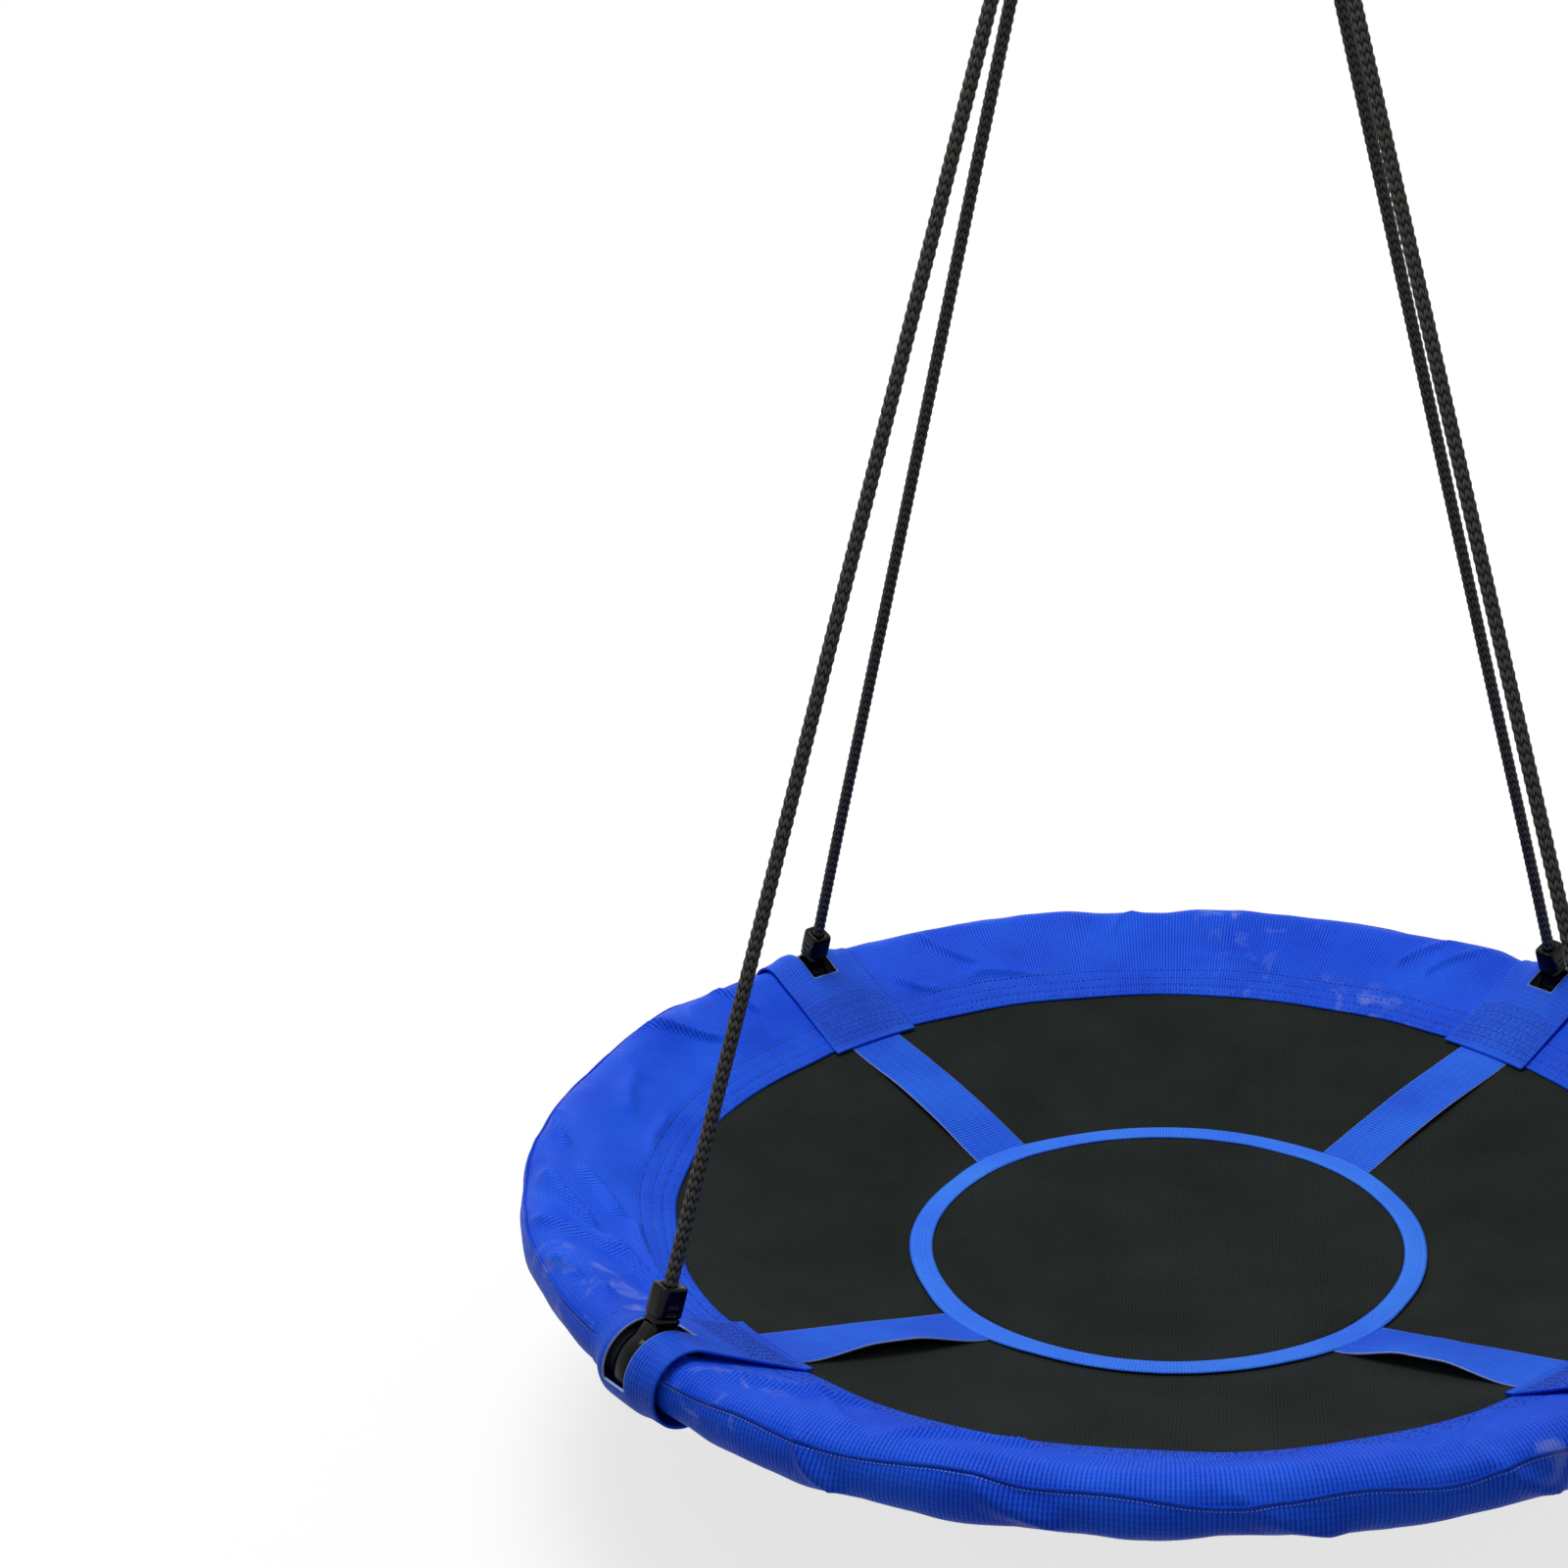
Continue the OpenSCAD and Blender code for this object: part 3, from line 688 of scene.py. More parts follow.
print("creases listed:", sum(len(c) for c in CREASES.values()))

# %% [markdown]
# ### The rim cover
# Each quarter starts as a flat grid, as the cloth does. Its map is written while it is still flat, so the
# ribs keep their size wherever the cloth goes, and then every point is moved to its place. Solidify gives the
# cloth its thickness, inwards. At each end a notch leaves room for the moulded eye, and it reaches so far
# under the patch that dark foam shows in the gap beside it.

# %% Rim cover
def cloth(cells, size, place, keep=None):
    """A grid of cloth with a map in metres, bent by place(u, v). keep(u, v) says which cells stay."""
    bm = bmesh.new()
    bmesh.ops.create_grid(bm, x_segments=cells[0], y_segments=cells[1], size=0.5)
    bmesh.ops.translate(bm, verts=bm.verts, vec=(0.5, 0.5, 0))
    bmesh.ops.scale(bm, verts=bm.verts, vec=(size[0], size[1], 1))
    if keep:
        gone = [f for f in bm.faces if not keep(*f.calc_center_median().xy)]
        bmesh.ops.delete(bm, geom=gone, context="FACES")
    uv = bm.loops.layers.uv.new("lengths")
    for face in bm.faces:
        for loop in face.loops:
            loop[uv].uv = loop.vert.co.xy
    for v in bm.verts:
        v.co = place(v.co.x, v.co.y)
    return bm


def face_up(bm):
    """Turns a sheet's normals upwards."""
    bm.normal_update()
    if sum(face.normal.z for face in bm.faces) < 0:
        bmesh.ops.reverse_faces(bm, faces=bm.faces)


def thicken(piece, thickness):
    """Gives cloth its thickness, away from its outer face."""
    wall = piece.modifiers.new("thickness", "SOLIDIFY")
    wall.thickness, wall.offset = thickness, -1
    return piece


# How far each end is cut back, and how far inside the tube's middle the cut begins.
NOTCH, NOTCH_DEPTH = 35 * MM, 29 * MM


def outside_notch(along, across):
    """True where the cover stays: it is cut back at both ends to clear the eye."""
    flat, _ = at_share(cover_section, across / COVER_L)
    return min(along, QUARTER - along) > NOTCH or flat.x < RIM_R - NOTCH_DEPTH


cover_cells = ((370, 84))
for number in HANGERS:
    bm = cloth(
        cover_cells, (QUARTER, COVER_L),
        lambda along, across: rim_point(number, along, across, cover_relief(number, along, across)),
        outside_notch,
    )
    bmesh.ops.reverse_faces(bm, faces=bm.faces)
    piece = finished(bm, f"rim_cover_cloth_{number}", cover_cloth, "seat", [f"rim_cover_{number}"])
    thicken(piece, 1 * MM)
print("rim cover: 4 quarters of", cover_cells[0] * cover_cells[1], "cells")

# %% [markdown]
# ### Stitches
# A seam is a row of short capsules. One stitch is made from a small icosphere and copied along each row, so a
# stitch costs only twenty faces. A row runs on points that follow the cloth, creases and all.

# %% Sewing
def sew(name, lines, thread, stitch, gap, thick):
    """Stitches of one length, a gap apart, along lines of points on the cloth."""
    seed = bmesh.new()
    bmesh.ops.create_icosphere(seed, subdivisions=1, radius=0.5)
    capsule = bpy.data.meshes.new("stitch")
    seed.to_mesh(capsule)
    seed.free()
    bm = bmesh.new()
    for line in lines:
        far = 0
        for p, q in zip(line, line[1:]):
            step = (q - p).length
            while far < step:
                ahead = (q - p).normalized()
                place = ahead.to_track_quat("X", "Z").to_matrix().to_4x4()
                place.translation = p + ahead * far
                copy = capsule.copy()
                copy.transform(place @ Matrix.Diagonal((stitch, thick, thick, 1)))
                bm.from_mesh(copy)
                bpy.data.meshes.remove(copy)
                far += stitch + gap
            far -= step
    bpy.data.meshes.remove(capsule)
    print(name, len(bm.faces) // 20, "stitches")
    finished(bm, name, thread, "seat")


lines = []
for number in HANGERS:
    for row in STITCH_ROWS:
        lines.append([
            rim_point(number, along, row, cover_relief(number, along, row) + 0.2 * MM)
            for along in spaced(0, QUARTER, 300)
        ])
sew("hem_stitches", lines, sewing_thread, stitch=3.6 * MM, gap=1.6 * MM, thick=1.3 * MM)

# %% [markdown]
# ### The piped seam
# Round the outside, above the level of the tube, the upper and lower halves of the cover are joined over a
# cord. The seam stands up as a thin ridge and rises and falls a little with the slack of the cloth.

# %% Piped seam
WELT_ANGLE = math.radians(37)
WELT_D = 2.4 * MM


def seam_across(number, along):
    """Where the seam lies across the cover. It wanders by a few millimetres."""
    lean = math.asin((PAD_R - FLAP_GAP) / FLAP)
    flap = (COVER_L - PAD_R * (math.pi + 2 * lean)) / 2
    ends = ease(50 * MM, 120 * MM, along) * ease(50 * MM, 120 * MM, QUARTER - along)
    wander = noise.noise(Vector((along * 13, number * 3.3, 4.2))) * 7 * MM * ends
    return flap + PAD_R * (math.pi / 2 + lean - (WELT_ANGLE - SLOPE)) + wander


def seam_line(number, above, lift):
    """Points along one quarter's seam, some way above it and out from the cloth."""
    line = []
    for along in spaced(NOTCH, QUARTER - NOTCH, 400):
        across = seam_across(number, along) - above
        line.append(rim_point(number, along, across, cover_relief(number, along, across) + lift))
    return line


lines = []
for number in HANGERS:
    bm = swept_tube(seam_line(number, 0, 0.5 * MM), WELT_D / 2, 10)
    finished(bm, f"piped_seam_{number}", cover_cloth, "seat")
    lines.append(seam_line(number, -2.2 * MM, 0.2 * MM))
sew("seam_stitches", lines, pale_thread, stitch=1.8 * MM, gap=0.9 * MM, thick=0.9 * MM)

# %% [markdown]
# ## The mat
# The mat is one round of black Oxford cloth, stretched between the four sides of the cover, so it is a
# shallow cone. A circle is extruded outwards ring by ring; a fan of triangles closes the middle. Its map is
# its plan, in metres. Near the cover it is drawn into faint radial ripples.

# %% Round sheets
def round_sheet(radii, sides, place, filled=True):
    """Rings extruded outwards from the first radius, with a plan map in metres, moved by place(x, y)."""
    bm = bmesh.new()
    bmesh.ops.create_circle(bm, segments=sides, radius=radii[0], cap_ends=filled, cap_tris=filled)
    edges = [e for e in bm.edges if all(abs(v.co.length - radii[0]) < 1e-6 for v in e.verts)]
    for last, radius in zip(radii, radii[1:]):
        edges, corners = extruded(bm, edges)
        bmesh.ops.scale(bm, verts=corners, vec=(radius / last, radius / last, 1))
    uv = bm.loops.layers.uv.new("lengths")
    for face in bm.faces:
        for loop in face.loops:
            loop[uv].uv = loop.vert.co.xy
    for v in bm.verts:
        v.co = place(v.co.x, v.co.y)
    face_up(bm)
    return bm


MAT_T = 1.2 * MM
MAT_OUT = 0.4275


def mat_place(x, y):
    radius, angle = math.hypot(x, y), math.atan2(y, x)
    ripple = noise.noise(Vector((math.cos(angle) * 6, math.sin(angle) * 6, radius * 3)))
    share = ease(0.25, 0.36, radius) * (1 - ease(0.372, 0.384, radius))
    return Vector((x, y, mat_height(radius) + MAT_T / 2 + ripple * share * 1.6 * MM))


bm = round_sheet([0.012, *spaced(0.03, MAT_OUT, 52)], 180, mat_place)
mat = thicken(finished(bm, "stretched_mat", mat_cloth, "seat", ["mat"]), MAT_T)
print(f"mat: {2 * MAT_OUT:.3f} m across")

# %% [markdown]
# ### The centre disc and its binding
# The disc is a second layer of the same cloth, sewn on top. Its raw edge is covered by a bright bias tape.
# The spokes pull the tape outwards where they run under it, so its outline has four soft corners.

# %% Centre disc
CLOTH_T = 1 * MM
LAYER = MAT_T / 2 + 0.1 * MM
TAPE_IN, TAPE_OUT = 0.186, 0.204


def disc_place(x, y):
    radius = math.hypot(x, y)
    dimple = noise.noise(Vector((x * 7, y * 7, 2.2))) * (1 - ease(0.12, 0.18, radius))
    return Vector((x, y, mat_height(radius) + LAYER + CLOTH_T + (0.5 + 0.5 * dimple) * MM))


DISC_CUT = TAPE_IN + 2 * MM
bm = round_sheet([0.01, *spaced(0.02, DISC_CUT, 30)], 160, disc_place)
disc = thicken(finished(bm, "centre_disc_cloth", mat_cloth, "seat", ["centre_disc"]), CLOTH_T)


def tape_corner(angle):
    """1 where a spoke pulls the tape outwards and 0 between two spokes."""
    return max(0, math.cos(4 * (angle - math.pi / 4))) ** 2


def tape_place(x, y):
    radius, angle = math.hypot(x, y), math.atan2(y, x)
    share = (radius - TAPE_IN) / (TAPE_OUT - TAPE_IN)
    pull = 3.6 * MM * tape_corner(angle) + 1.2 * MM * noise.noise(Vector((x * 12, y * 12, 5)))
    crown = math.sin(math.pi * share) ** 0.5 * 0.9 * MM if 0 < share < 1 else 0
    scale = (radius + pull * (0.35 + 0.65 * share)) / radius
    lift = 0.25 * MM * noise.noise(Vector((x * 40, y * 40, 9)))
    z = mat_height(radius) + LAYER + 1.5 * MM + CLOTH_T + crown + lift
    return Vector((x * scale, y * scale, z))


bm = round_sheet(spaced(TAPE_IN, TAPE_OUT, 9), 320, tape_place, filled=False)
uv = bm.loops.layers.uv["lengths"]
for face in bm.faces:
    angles = [math.atan2(v.co.y, v.co.x) % math.tau for v in face.verts]
    for loop, angle in zip(face.loops, angles):
        wrapped = angle + math.tau * (max(angles) - angle > math.pi)
        loop[uv].uv = (wrapped * TAPE_OUT, loop.vert.co.xy.length)
thicken(finished(bm, "centre_binding_tape", bias_tape, "seat", ["centre_binding"]), CLOTH_T)
lines = []
for inset in (2.5 * MM, 15.5 * MM):
    radius = TAPE_IN + inset
    around = spaced(0, math.tau, 720)
    lines.append([tape_place(radius * math.cos(a), radius * math.sin(a)) for a in around])
sew("binding_stitches", lines, pale_thread, 2.6 * MM, 1.2 * MM, 0.5 * MM)

# %% [markdown]
# ### Spokes
# Four straps of ribbed webbing tie the disc to the rim. A strap that isn't under load doesn't lie flat: it
# arches, and one edge rises more than the other. Each strap gets its own arch and twist. Its edges are its
# woven selvedges, a little paler.

# %% Spokes
WEB_T = 1.4 * MM
SPOKE_W = 50 * MM
SPOKE_IN, SPOKE_OUT = DISC_R - 15 * MM, MAT_R - 1 * MM
SPOKE_L = SPOKE_OUT - SPOKE_IN
# Arch, twist and bow of each strap, in millimetres.
SPOKE_SHAPES = {1: (5.0, 4.5, 2.0), 2: (2.0, 2.0, -3.0), 3: (1.8, -1.6, 2.0), 4: (5.5, -5.0, -2.5)}


def spoke_place(number, side, along):
    """A point of a strap: side runs across it and along from the disc to the rim."""
    arch, twist, bow = (size * MM for size in SPOKE_SHAPES[number])
    share = along / SPOKE_L
    free = ease(0.1, 0.45, share) * (1 - ease(0.6, 0.92, share))
    half = SPOKE_W / 2 * (1 + 0.06 * math.sin(math.pi * share))
    across = (side / SPOKE_W) * 2 * half + bow * math.sin(math.pi * share)
    radius = SPOKE_IN + along
    wave = 0.8 * MM * noise.noise(Vector((side * 30, along * 24, number * 3.0)))
    lift = free * (arch + twist * side / SPOKE_W * 2 + wave)
    turn = Matrix.Rotation(hanger_angle(number), 3, "Z")
    reach = math.hypot(radius, across)
    return turn @ Vector((radius, across, mat_height(reach) + LAYER + WEB_T + max(0, lift)))


def webbing(cells, size, near, place, keep=None):
    """A strip with a map in metres, bent by place(side, along). near(v) is 1 at a cut edge, else 0."""
    bm = cloth(cells, size, lambda x, y: Vector((x - size[0] / 2, y, 0)), keep)
    layer = bm.verts.layers.float.new("cut_edge")
    for v in bm.verts:
        v[layer] = near(v)
    for v in bm.verts:
        v.co = place(v.co.x, v.co.y)
    return bm


def selvedge(v):
    """Near 1 at a woven edge, which is a little less pale than a cut one."""
    return 0.8 * (SPOKE_W / 2 - abs(v.co.x) < 0.1 * MM)


for number in HANGERS:
    bm = webbing(
        (26, 96), (SPOKE_W, SPOKE_L), selvedge, lambda side, along: spoke_place(number, side, along)
    )
    face_up(bm)
    piece = finished(bm, f"spoke_strap_{number}", spoke_webbing, "seat", [f"spoke_{number}"])
    thicken(piece, WEB_T)
print(f"spokes: 4 straps of {SPOKE_W:.3f} by {SPOKE_L:.3f} m")

# %% [markdown]
# ## Hanger patches
# At each hanging point a wide piece of webbing goes round the rim and is sewn down over the spoke. A slot in
# it lets the moulded eye through. The eye holds it off the tube in the middle, and towards its sides it sinks
# to the cover; on one side it stands off, and its free edge shows a dark gap.

# %% Hanger patch
PATCH_W = 86 * MM
PATCH_T = 2 * MM
PATCH_TAIL = 6 * MM
# The radius of a patch round the tube where the eye holds it out, and where it lies on the cover.
PATCH_R, PATCH_LOW_R = 30 * MM, 21.7 * MM
PATCH_LIFT = LAYER + WEB_T + 0.2 * MM + PATCH_T
SLOT_HALF = 14 * MM
SLOT_FROM, SLOT_TO = math.radians(150), math.radians(-5)
PATCH_POINTS = 300
# Rows of stitches as shares of a patch's length, and the rows between which a zigzag runs.
PATCH_ROWS = (0.03, 0.055, 0.085, 0.115, 0.15, 0.185)
ZIGZAGS = ((0.03, 0.085), (0.085, 0.15), (0.15, 0.185))
# How far each side edge of a patch stands off the cover, low side first, and its tilt.
PATCH_SIDES = {1: (0.5, 6.5), 2: (1.0, 4.0), 3: (4.0, 1.0), 4: (6.5, 0.5)}
patch_sections = {}
for radius in spaced(21.5 * MM, PATCH_R, 17):
    patch_sections[round(radius / MM, 2)] = section(radius, PATCH_LIFT, PATCH_TAIL, PATCH_POINTS)
wide_section, PATCH_L = patch_sections[max(patch_sections)]
angles = [math.atan2(p.y - RIM_Z, p.x - RIM_R) for p, _ in wide_section]
slot_rows = []
for wanted in (SLOT_FROM, SLOT_TO):
    nearest = min(range(60, 280), key=lambda k: abs(angles[k] - wanted))
    slot_rows.append(nearest / PATCH_POINTS)
print(f"patch: {PATCH_L:.3f} m round; its slot runs from {slot_rows[0]:.2f} to {slot_rows[1]:.2f} of that")


def patch_radius(number, side):
    """The radius of the patch round the tube. It is held out by the eye and sinks towards its sides."""
    edge = PATCH_LOW_R + PATCH_SIDES[number][0 if side < 0 else 1] * MM
    return PATCH_R - 0.2 * MM + (edge - PATCH_R) * ease(16 * MM, PATCH_W / 2 - 2 * MM, abs(side))


def patch_place(number, side, share):
    """A point of a patch: side runs along the rim and share round it from the tail."""
    radius = patch_radius(number, side)
    keys = sorted(patch_sections)
    high = next((k for k in keys if k * MM >= radius), keys[-1])
    low = keys[max(0, keys.index(high) - 1)]
    mix = 0 if high == low else (radius / MM - low) / (high - low)
    flat, out = at_share(patch_sections[low][0], share)
    flat_high, _ = at_share(patch_sections[high][0], share)
    flat = flat.lerp(flat_high, mix)
    free = ease(0.16, 0.3, share) * (1 - ease(0.8, 0.95, share))
    lift = noise.noise(Vector((side * 22, share * 8, number * 6.1))) * 0.9 * MM * free
    # The webbing is drawn tight beside the slot, and dips between there and its edges.
    dip = -0.8 * MM * free * math.exp(-(((abs(side) - 27 * MM) / (7 * MM)) ** 2))
    flat = flat + out * (lift + dip)
    x = math.sqrt(flat.x**2 - side**2)
    return Matrix.Rotation(hanger_angle(number), 3, "Z") @ Vector((x, side, flat.y))


PATCH_CELLS = (43, 150)
slot_first, slot_last = (round(row * PATCH_CELLS[1]) for row in slot_rows)


def in_slot(side, share):
    """True for a cell of the slot."""
    return abs(side) < SLOT_HALF and slot_first < share * PATCH_CELLS[1] < slot_last


def slot_edge(v):
    """1 at the cut edge of the slot and 0 elsewhere."""
    inside = abs(v.co.x) < SLOT_HALF + 2 * MM and 0.1 < v.co.y / PATCH_L < 0.9
    return float(inside and any(e.is_boundary for e in v.link_edges))


for number in HANGERS:
    bm = webbing(
        PATCH_CELLS, (PATCH_W, PATCH_L), slot_edge,
        lambda side, along: patch_place(number, side, along / PATCH_L),
        lambda x, y: not in_slot(x - PATCH_W / 2, y / PATCH_L),
    )
    bmesh.ops.reverse_faces(bm, faces=bm.faces)
    piece = finished(
        bm, f"hanger_patch_webbing_{number}", patch_webbing, "seat", [f"hanger_patch_{number}"]
    )
    thicken(piece, PATCH_T * 0.9)
    rows = []
    reach = PATCH_W / 2 - 3 * MM
    for share in PATCH_ROWS:
        rows.append([patch_place(number, side, share) for side in spaced(-reach, reach, 40)])
    reach = PATCH_W / 2 - 4 * MM
    for ends in ZIGZAGS:
        sides = spaced(-reach, reach, 24)
        rows.append([patch_place(number, side, ends[k % 2]) for k, side in enumerate(sides)])
    lifted = [[p + Vector((0, 0, 0.15 * MM)) for p in row] for row in rows]
    sew(f"patch_stitches_{number}", lifted, sewing_thread, 2.6 * MM, 1.2 * MM, 0.7 * MM)

# %% [markdown]
# ## Foam, tubes and fittings
# Through the slots one sees the steel tube, the ends of the foam sleeves and the moulded eye. The tubes, the
# screws, the rings and the adjusters are the model's own solids with a real finish. The foam is soft, so it
# is made here: a skin round the tube, rounded at its ends. The eyes are made here too, for their rounding.

# %% Hard finishes
def speckled(name, deep, bright, size, depth, rough=(0.3, 0.45), **sockets):
    """A finish with fine grain of one size: a colour, a roughness and a relief that vary together."""
    material, tree, shader = finish_named(name, **sockets)
    where = add(tree, "TexCoord").outputs["Object"]
    fine = add(tree, "TexNoise", {"Vector": where, "Scale": 1 / size, "Detail": 4.0})
    broad = add(tree, "TexNoise", {"Vector": where, "Scale": 0.04 / size, "Detail": 3.0})
    blend = add(tree, "Math", [fine, 0.5, broad], operation="MULTIPLY_ADD")
    factor = add(tree, "MapRange", {"Value": blend, "From Min": 0.5, "From Max": 1.0})
    colour = add(tree, "Mix", [factor, linear(deep), linear(bright)], data_type="RGBA")
    gloss = add(tree, "MapRange", {"Value": blend, "From Min": 0.45, "From Max": 1.05,
                                   "To Min": rough[0], "To Max": rough[1]})
    use(tree, shader, colour, fine, depth, 0.5, gloss)
    return material


# Ring wire: bright zinc-plated steel, polished by the rope. Drawing marks run too fine to show as lines.
ring_steel = speckled(
    "polished_steel_wire", "#b9bcc0", "#e9ebee", 0.5 * MM, 0.012 * MM, (0.12, 0.24), Metallic=1.0
)
# Rim tube: steel under a grey powder coat, whose baked film has a fine orange peel and a half gloss.
powder_coat = speckled(
    "powder_coated_steel_tube", "#8d9094", "#a3a6aa", 1.6 * MM, 0.06 * MM, (0.3, 0.42)
)
screw_zinc = speckled(
    "zinc_plated_screw", "#a5a7a4", "#cfd0cc", 0.8 * MM, 0.02 * MM, (0.25, 0.4), Metallic=1.0
)
# Eyes and adjusters: glass-filled nylon from a polished mould, glossy with a fine flow grain.
nylon = speckled(
    "moulded_black_nylon", "#020203", "#08080a", 1.2 * MM, 0.015 * MM, (0.1, 0.18),
    Specular_IOR_Level=0.13,
)
# Foam: closed-cell polyethylene with cells of about a millimetre.
foam_skin = speckled(
    "closed_cell_foam", "#3b3d40", "#55585c", 1.1 * MM, 0.25 * MM, (0.75, 0.9)
)
FINISHES = {
    "ring_left": ring_steel, "ring_right": ring_steel, "frame_screws": screw_zinc,
    "adjuster_": nylon, "frame_tube_": powder_coat,
}
for name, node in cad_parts.items():
    for start, finish in FINISHES.items():
        if name.startswith(start):
            node.data.materials.clear()
            node.data.materials.append(finish)
print("hard finishes:", len(set(FINISHES.values())))

# %% [markdown]
# ## Moulded eyes
# Each rope is held by a moulded eye: a saddle that turns on the rim tube, a neck that narrows above it, and a
# block with windows, where pins of the mould held the rope. A mould leaves round corners everywhere. The
# saddle is a rounded section, spun about the tube. Neck and block are one rounded square, extruded upwards
# and scaled at each level. The windows are pressed in afterwards.

# %% Moulded eyes
LOOP_R = 23 * MM
LOOP_DROP = 34 * MM
ROPE_LEAN = math.atan2(RIM_R - LOOP_R, -RIM_Z - LOOP_DROP)
SADDLE_IN, SADDLE_OUT, SADDLE_W = 13 * MM, 26 * MM, 21 * MM
SOCKET_R, SOCKET_Z = 5.5 * MM, 50.3 * MM
# Height up the rope, then half widths along the rim's radius and along the tube, in millimetres.
EYE_LEVELS = [
    (14.5, 20.0, 9.2), (18.0, 17.4, 9.4), (22.0, 14.4, 9.3), (26.0, 11.8, 8.8), (29.0, 10.4, 8.2),
    (31.4, 10.0, 8.0), (32.1, 10.9, 9.1), (34.2, 10.9, 9.1), (34.9, 10.0, 8.1), (36.0, 10.0, 8.1),
    (36.7, 10.9, 9.3), (38.0, 11.0, 9.5), (41.6, 11.0, 9.5), (43.8, 11.0, 9.5), (47.4, 11.0, 9.5),
    (55.6, 10.9, 9.4), (57.0, 10.5, 9.0), (57.8, 9.8, 8.3), (58.0, 8.9, 7.4),
]
# The windows, in millimetres: from and to up the rope, half width, depth, and where the block's wall begins.
WINDOWS = ((38.0, 41.6), (43.8, 47.4))
WINDOW_HALF, WINDOW_DEPTH, WALL_FROM = 4.6, 2.6, 8


def rounded_square(bm, segments, power):
    """A ring of two units across, between a circle and a square."""
    ring = bmesh.ops.create_circle(bm, segments=segments, radius=1)["verts"]
    for v in ring:
        v.co *= (abs(v.co.x) ** power + abs(v.co.y) ** power) ** (-1 / power)
    return ring


def raised(bm, edges, height, wide, deep):
    """Extrudes a ring to a height, scaled by two factors, and returns its edges."""
    edges, ring = extruded(bm, edges)
    bmesh.ops.scale(bm, verts=ring, vec=(wide, deep, 1))
    bmesh.ops.translate(bm, verts=ring, vec=(0, 0, height))
    return edges


for number in HANGERS:
    bm = bmesh.new()
    profile = rounded_square(bm, 28, 2.6)
    half = (SADDLE_OUT - SADDLE_IN) / 2
    bmesh.ops.scale(bm, verts=profile, vec=(half, SADDLE_W / 2, 1))
    bmesh.ops.translate(bm, verts=profile, vec=(SADDLE_IN + half, 0, 0))
    bmesh.ops.spin(
        bm, geom=bm.verts[:] + bm.edges[:], axis=(0, 1, 0), angle=math.tau, steps=56, use_merge=True
    )
    ring = rounded_square(bm, 48, 4.5)
    low, wide, deep = (size * MM for size in EYE_LEVELS[0])
    bmesh.ops.scale(bm, verts=ring, vec=(wide, deep, 1))
    bmesh.ops.translate(bm, verts=ring, vec=(0, 0, low))
    edges = list({e for v in ring for e in v.link_edges})
    bmesh.ops.contextual_create(bm, geom=edges)
    for before, level in zip(EYE_LEVELS, EYE_LEVELS[1:]):
        edges = raised(
            bm, edges, (level[0] - before[0]) * MM, level[1] / before[1], level[2] / before[2]
        )
    for drop in (0, SOCKET_Z - EYE_LEVELS[-1][0] * MM):
        edges = raised(bm, edges, drop, 1, 1)
        for v in {v for e in edges for v in e.verts}:
            v.co.xy = v.co.xy.normalized() * SOCKET_R
    bmesh.ops.contextual_create(bm, geom=edges)
    bmesh.ops.recalc_face_normals(bm, faces=bm.faces)
    for side in (-1, 1):
        for bottom, top in WINDOWS:
            pane = []
            for face in bm.faces:
                x, y, z = face.calc_center_median() / MM
                if bottom < z < top and abs(x) < WINDOW_HALF and y * side > WALL_FROM:
                    pane.append(face)
            bmesh.ops.inset_region(bm, faces=pane, thickness=0.3 * MM, use_even_offset=True)
            bmesh.ops.inset_region(bm, faces=pane, thickness=0.3 * MM, depth=-WINDOW_DEPTH * MM)
    place = Matrix.Rotation(hanger_angle(number), 4, "Z") @ Matrix.Translation((RIM_R, 0, RIM_Z))
    bm.transform(place @ Matrix.Rotation(-ROPE_LEAN, 4, "Y"))
    finished(bm, f"moulded_eye_{number}", nylon, f"eye_{number}", [f"rope_eye_{number}"])
print("moulded eyes: 4, leaning", round(math.degrees(ROPE_LEAN), 1), "degrees")

# %% [markdown]
# The foam sleeve is one closed skin: round the tube just clear of it, and round again on the outside. Its
# section is revolved about the seat's axis with a spin, and its ends are capped and softened by a bevel.

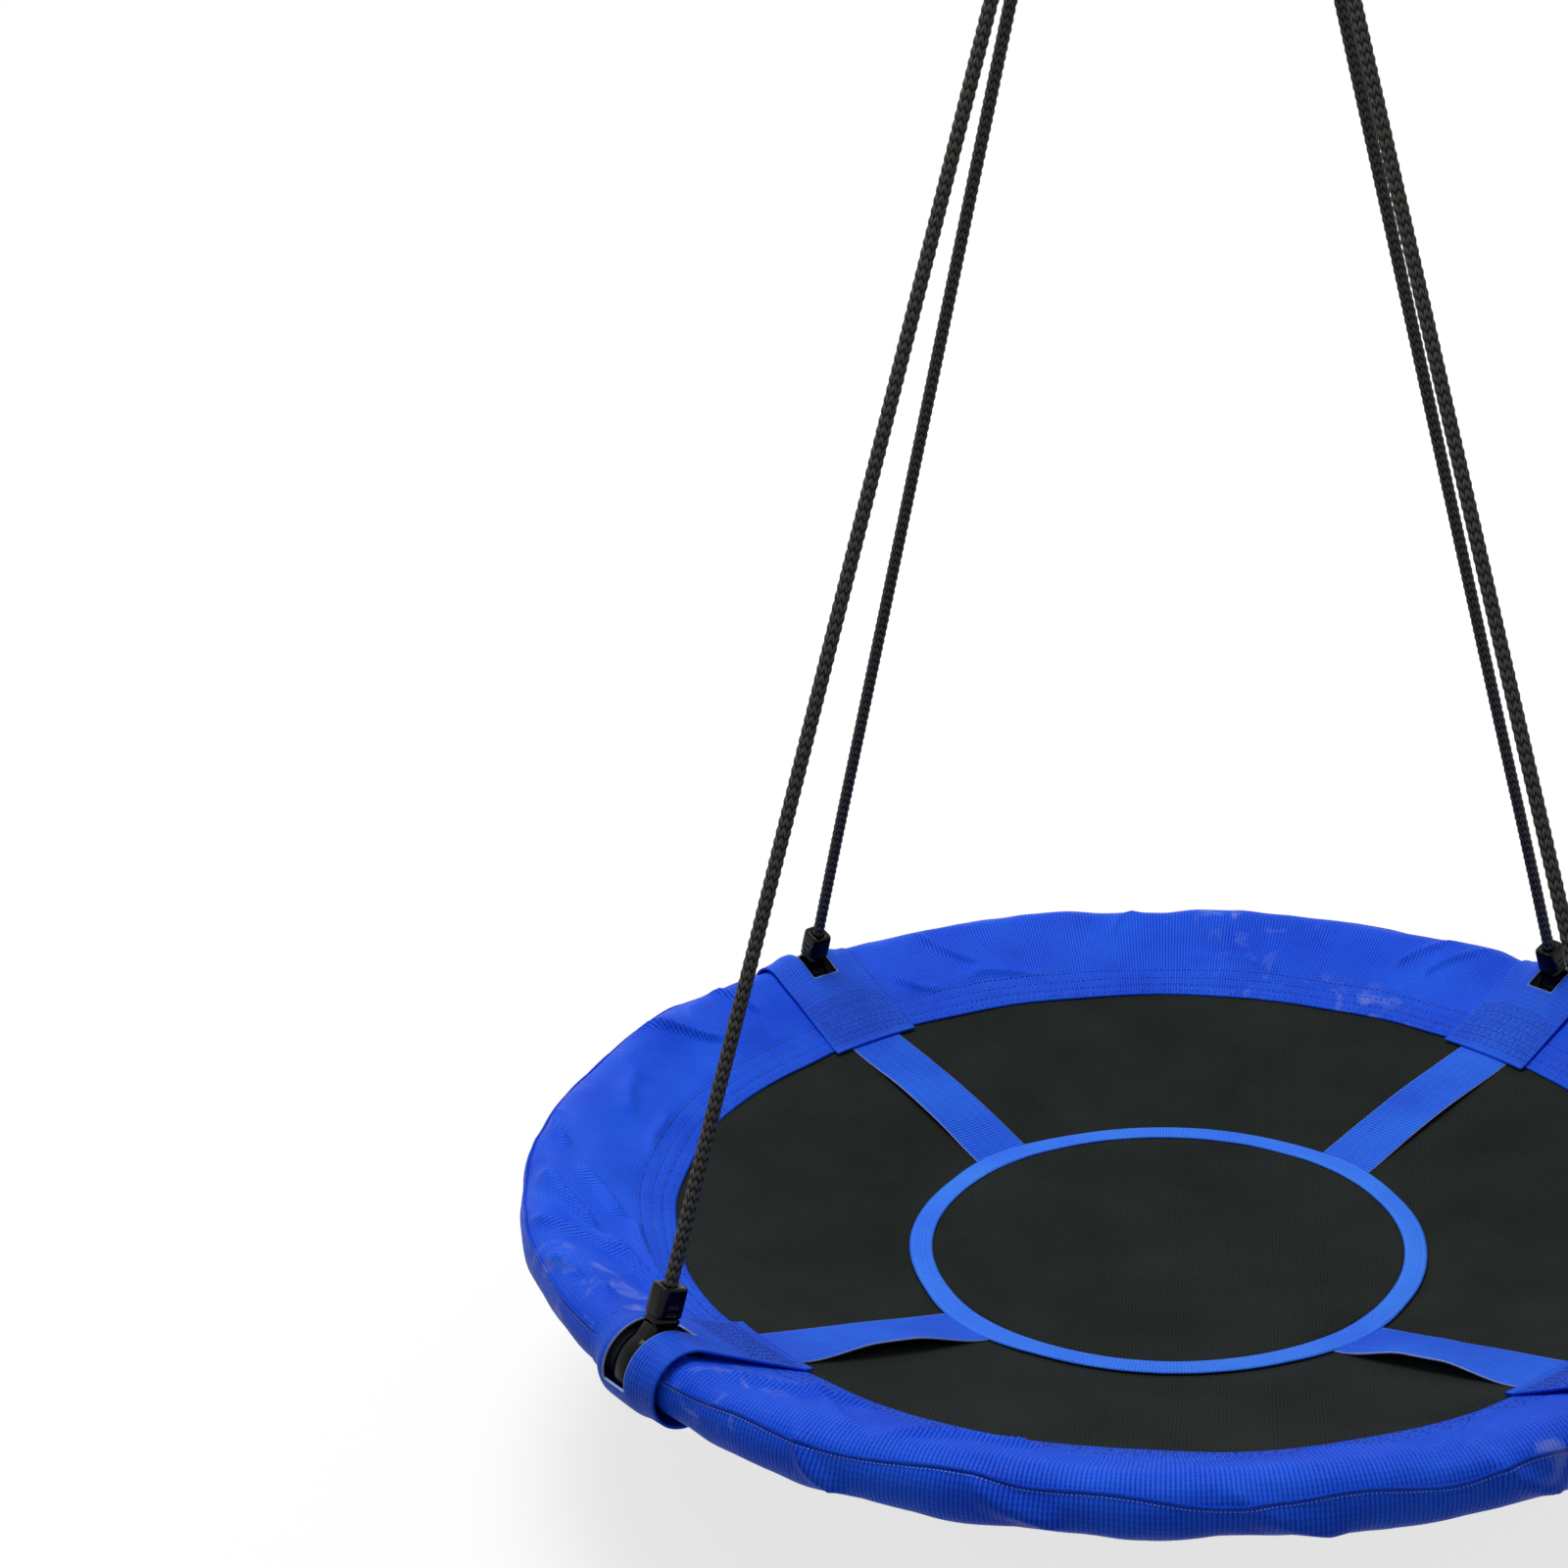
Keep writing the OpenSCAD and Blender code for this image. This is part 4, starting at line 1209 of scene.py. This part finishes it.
# %% Foam sleeves
FOAM_IN, FOAM_OUT = 12.9 * MM, 18.7 * MM
FOAM_GAP = math.asin(16 * MM / RIM_R)
for number in HANGERS:
    begin = hanger_angle(number) + FOAM_GAP
    bm = bmesh.new()
    rings = []
    for radius in (FOAM_IN, FOAM_OUT):
        made = bmesh.ops.create_circle(bm, segments=28, radius=radius)["verts"]
        rings.append({e for v in made for e in v.link_edges})
    bmesh.ops.bridge_loops(bm, edges=list(rings[0] | rings[1]))
    bmesh.ops.rotate(bm, verts=bm.verts, matrix=Matrix.Rotation(math.pi / 2, 3, "X"))
    bmesh.ops.translate(bm, verts=bm.verts, vec=(RIM_R, 0, RIM_Z))
    bmesh.ops.rotate(bm, verts=bm.verts, matrix=Matrix.Rotation(begin, 3, "Z"))
    bmesh.ops.spin(
        bm, geom=list(bm.faces), axis=(0, 0, 1), angle=math.pi / 2 - 2 * FOAM_GAP, steps=90
    )
    bmesh.ops.recalc_face_normals(bm, faces=bm.faces)
    for v in bm.verts:
        spot = Vector((math.atan2(v.co.y, v.co.x) * 40, v.co.z * 60, number))
        centre = v.co.xy.normalized() * RIM_R
        out = v.co - Vector((centre.x, centre.y, RIM_Z))
        if out.length > (FOAM_IN + FOAM_OUT) / 2:
            v.co += out.normalized() * noise.noise(spot) * 0.25 * MM
    piece = finished(bm, f"foam_skin_{number}", foam_skin, "seat", [f"foam_sleeve_{number}"])
    soften = piece.modifiers.new("soft_ends", "BEVEL")
    soften.width, soften.segments, soften.limit_method = 0.8 * MM, 2, "ANGLE"
    soften.angle_limit = math.radians(60)
print("foam sleeves: 4")

# %% [markdown]
# ### Weld beads
# A ring is bent from wire and butt-welded, which leaves a low bead round the joint. The bead is a short tube
# swept along the ring, a little thicker than the wire, with pinched ends.

# %% Weld beads
RING_D, RING_WIRE, RING_APART = 40 * MM, 6 * MM, 16 * MM
RING_TURN, RING_TILT = math.radians(25), math.radians(13)
WELD_SPAN = math.radians(104), math.radians(116)
for name, half in (("left", 0), ("right", math.pi)):
    place = (
        Matrix.Rotation(half, 4, "Z")
        @ Matrix.Translation((-RING_APART / 2, 0, 0))
        @ Matrix.Rotation(RING_TURN, 4, "Z")
        @ Matrix.Rotation(RING_TILT, 4, "Y")
        @ Matrix.Translation((0, 0, (RING_WIRE - RING_D) / 2))
        @ Matrix.Rotation(math.pi / 2, 4, "Y")
    )
    line = []
    for a in spaced(*WELD_SPAN, 12):
        line.append(Vector((math.cos(a), math.sin(a), 0)) * RING_D / 2)
    bm = swept_tube(line, RING_WIRE / 2, 24)
    middle = line[len(line) // 2]
    for v in bm.verts:
        nearest = min(line, key=lambda p: (p - v.co).length)
        share = 1 - ((nearest - middle).length / (line[0] - middle).length) ** 2
        lumps = 1 + 0.25 * noise.noise(v.co * 900)
        v.co += (v.co - nearest).normalized() * (0.55 * MM * max(0, share) * lumps - 0.05 * MM)
    bmesh.ops.transform(bm, matrix=place, verts=bm.verts)
    bmesh.ops.recalc_face_normals(bm, faces=bm.faces)
    finished(bm, f"weld_bead_{name}", ring_steel, "hook_rings")
print("weld beads: 2")

# %% [markdown]
# ## Floor and light
# The room is plain: an even white world that lights the cloth from all sides, a large soft light above and
# one in front. The world looks white to the camera and in polished steel, and is a good deal darker as a
# lamp, so that blues render as they are written. The floor lies below the seat's lowest setting, and takes
# the seat's soft shadow.

# %% Floor and light
scene = bpy.context.scene
scene.view_settings.view_transform = "Standard"
# The seat can be let down by 100 mm, so the floor lies 130 mm below it.
FLOOR_Z = cad_box[0][2] - 130 * MM


def shown_rays(tree):
    """1 for rays that show a surface to the camera, in a reflection or through glass, and 0 for light."""
    kind = add(tree, "LightPath").outputs
    shown = add(tree, "Math", [kind["Is Camera Ray"], kind["Is Glossy Ray"]], operation="MAXIMUM")
    return add(tree, "Math", [shown, kind["Is Transmission Ray"]], operation="MAXIMUM")


floor_paint = bpy.data.materials.new("matt_white_floor")
floor_paint.use_nodes = True
tree = floor_paint.node_tree
tree.nodes.remove(tree.nodes["Principled BSDF"])
matt = add(tree, "BsdfDiffuse", {"Color": (0.32, 0.32, 0.32, 1)})
# The floor is lit by itself too, more so away from the seat, so that its far end is as white as the wall.
away = add(tree, "VectorMath", [add(tree, "TexCoord").outputs["Object"]], operation="LENGTH")
lift = add(
    tree, "MapRange",
    {"Value": away.outputs["Value"], "From Min": 1.7, "From Max": 3.2, "To Min": 0.74, "To Max": 1.0},
)
lift = add(tree, "Math", [shown_rays(tree), lift], operation="MULTIPLY")
glow = add(tree, "Emission", {"Color": (1, 1, 1, 1), "Strength": lift})
both = add(tree, "AddShader", [matt, glow])
tree.links.new(both.outputs[0], tree.nodes["Material Output"].inputs["Surface"])

bm = bmesh.new()
bmesh.ops.create_grid(bm, x_segments=1, y_segments=1, size=14)
bmesh.ops.translate(bm, verts=bm.verts, vec=(0, 0, FLOOR_Z))
floor = finished(bm, "floor", floor_paint)

world = bpy.data.worlds.new("studio")
scene.world = world
world.use_nodes = True
tree = world.node_tree
strength = add(tree, "MapRange", {"Value": shown_rays(tree), "To Min": 0.24, "To Max": 1.0})
backdrop = tree.nodes["Background"]
backdrop.inputs["Color"].default_value = (1, 1, 1, 1)
tree.links.new(strength.outputs[0], backdrop.inputs["Strength"])


def soft_light(name, place, aim, size, watts):
    """A square light at one point that faces another."""
    lamp = bpy.data.lights.new(name, "AREA")
    lamp.shape, lamp.size, lamp.energy = "SQUARE", size, watts
    light = bpy.data.objects.new(name, lamp)
    scene.collection.objects.link(light)
    light.location = place
    light.rotation_euler = (Vector(aim) - Vector(place)).to_track_quat("-Z", "Y").to_euler()


soft_light("top_light", place=(-0.7, 0.4, 2.0), aim=(0, 0, -1.3), size=1.7, watts=77)
soft_light("front_light", place=(-1.6, -3.2, 0.4), aim=(0, 0, -1.2), size=1.8, watts=7)
print("floor at", round(FLOOR_Z, 3), "and lamps:", len(bpy.data.lights))
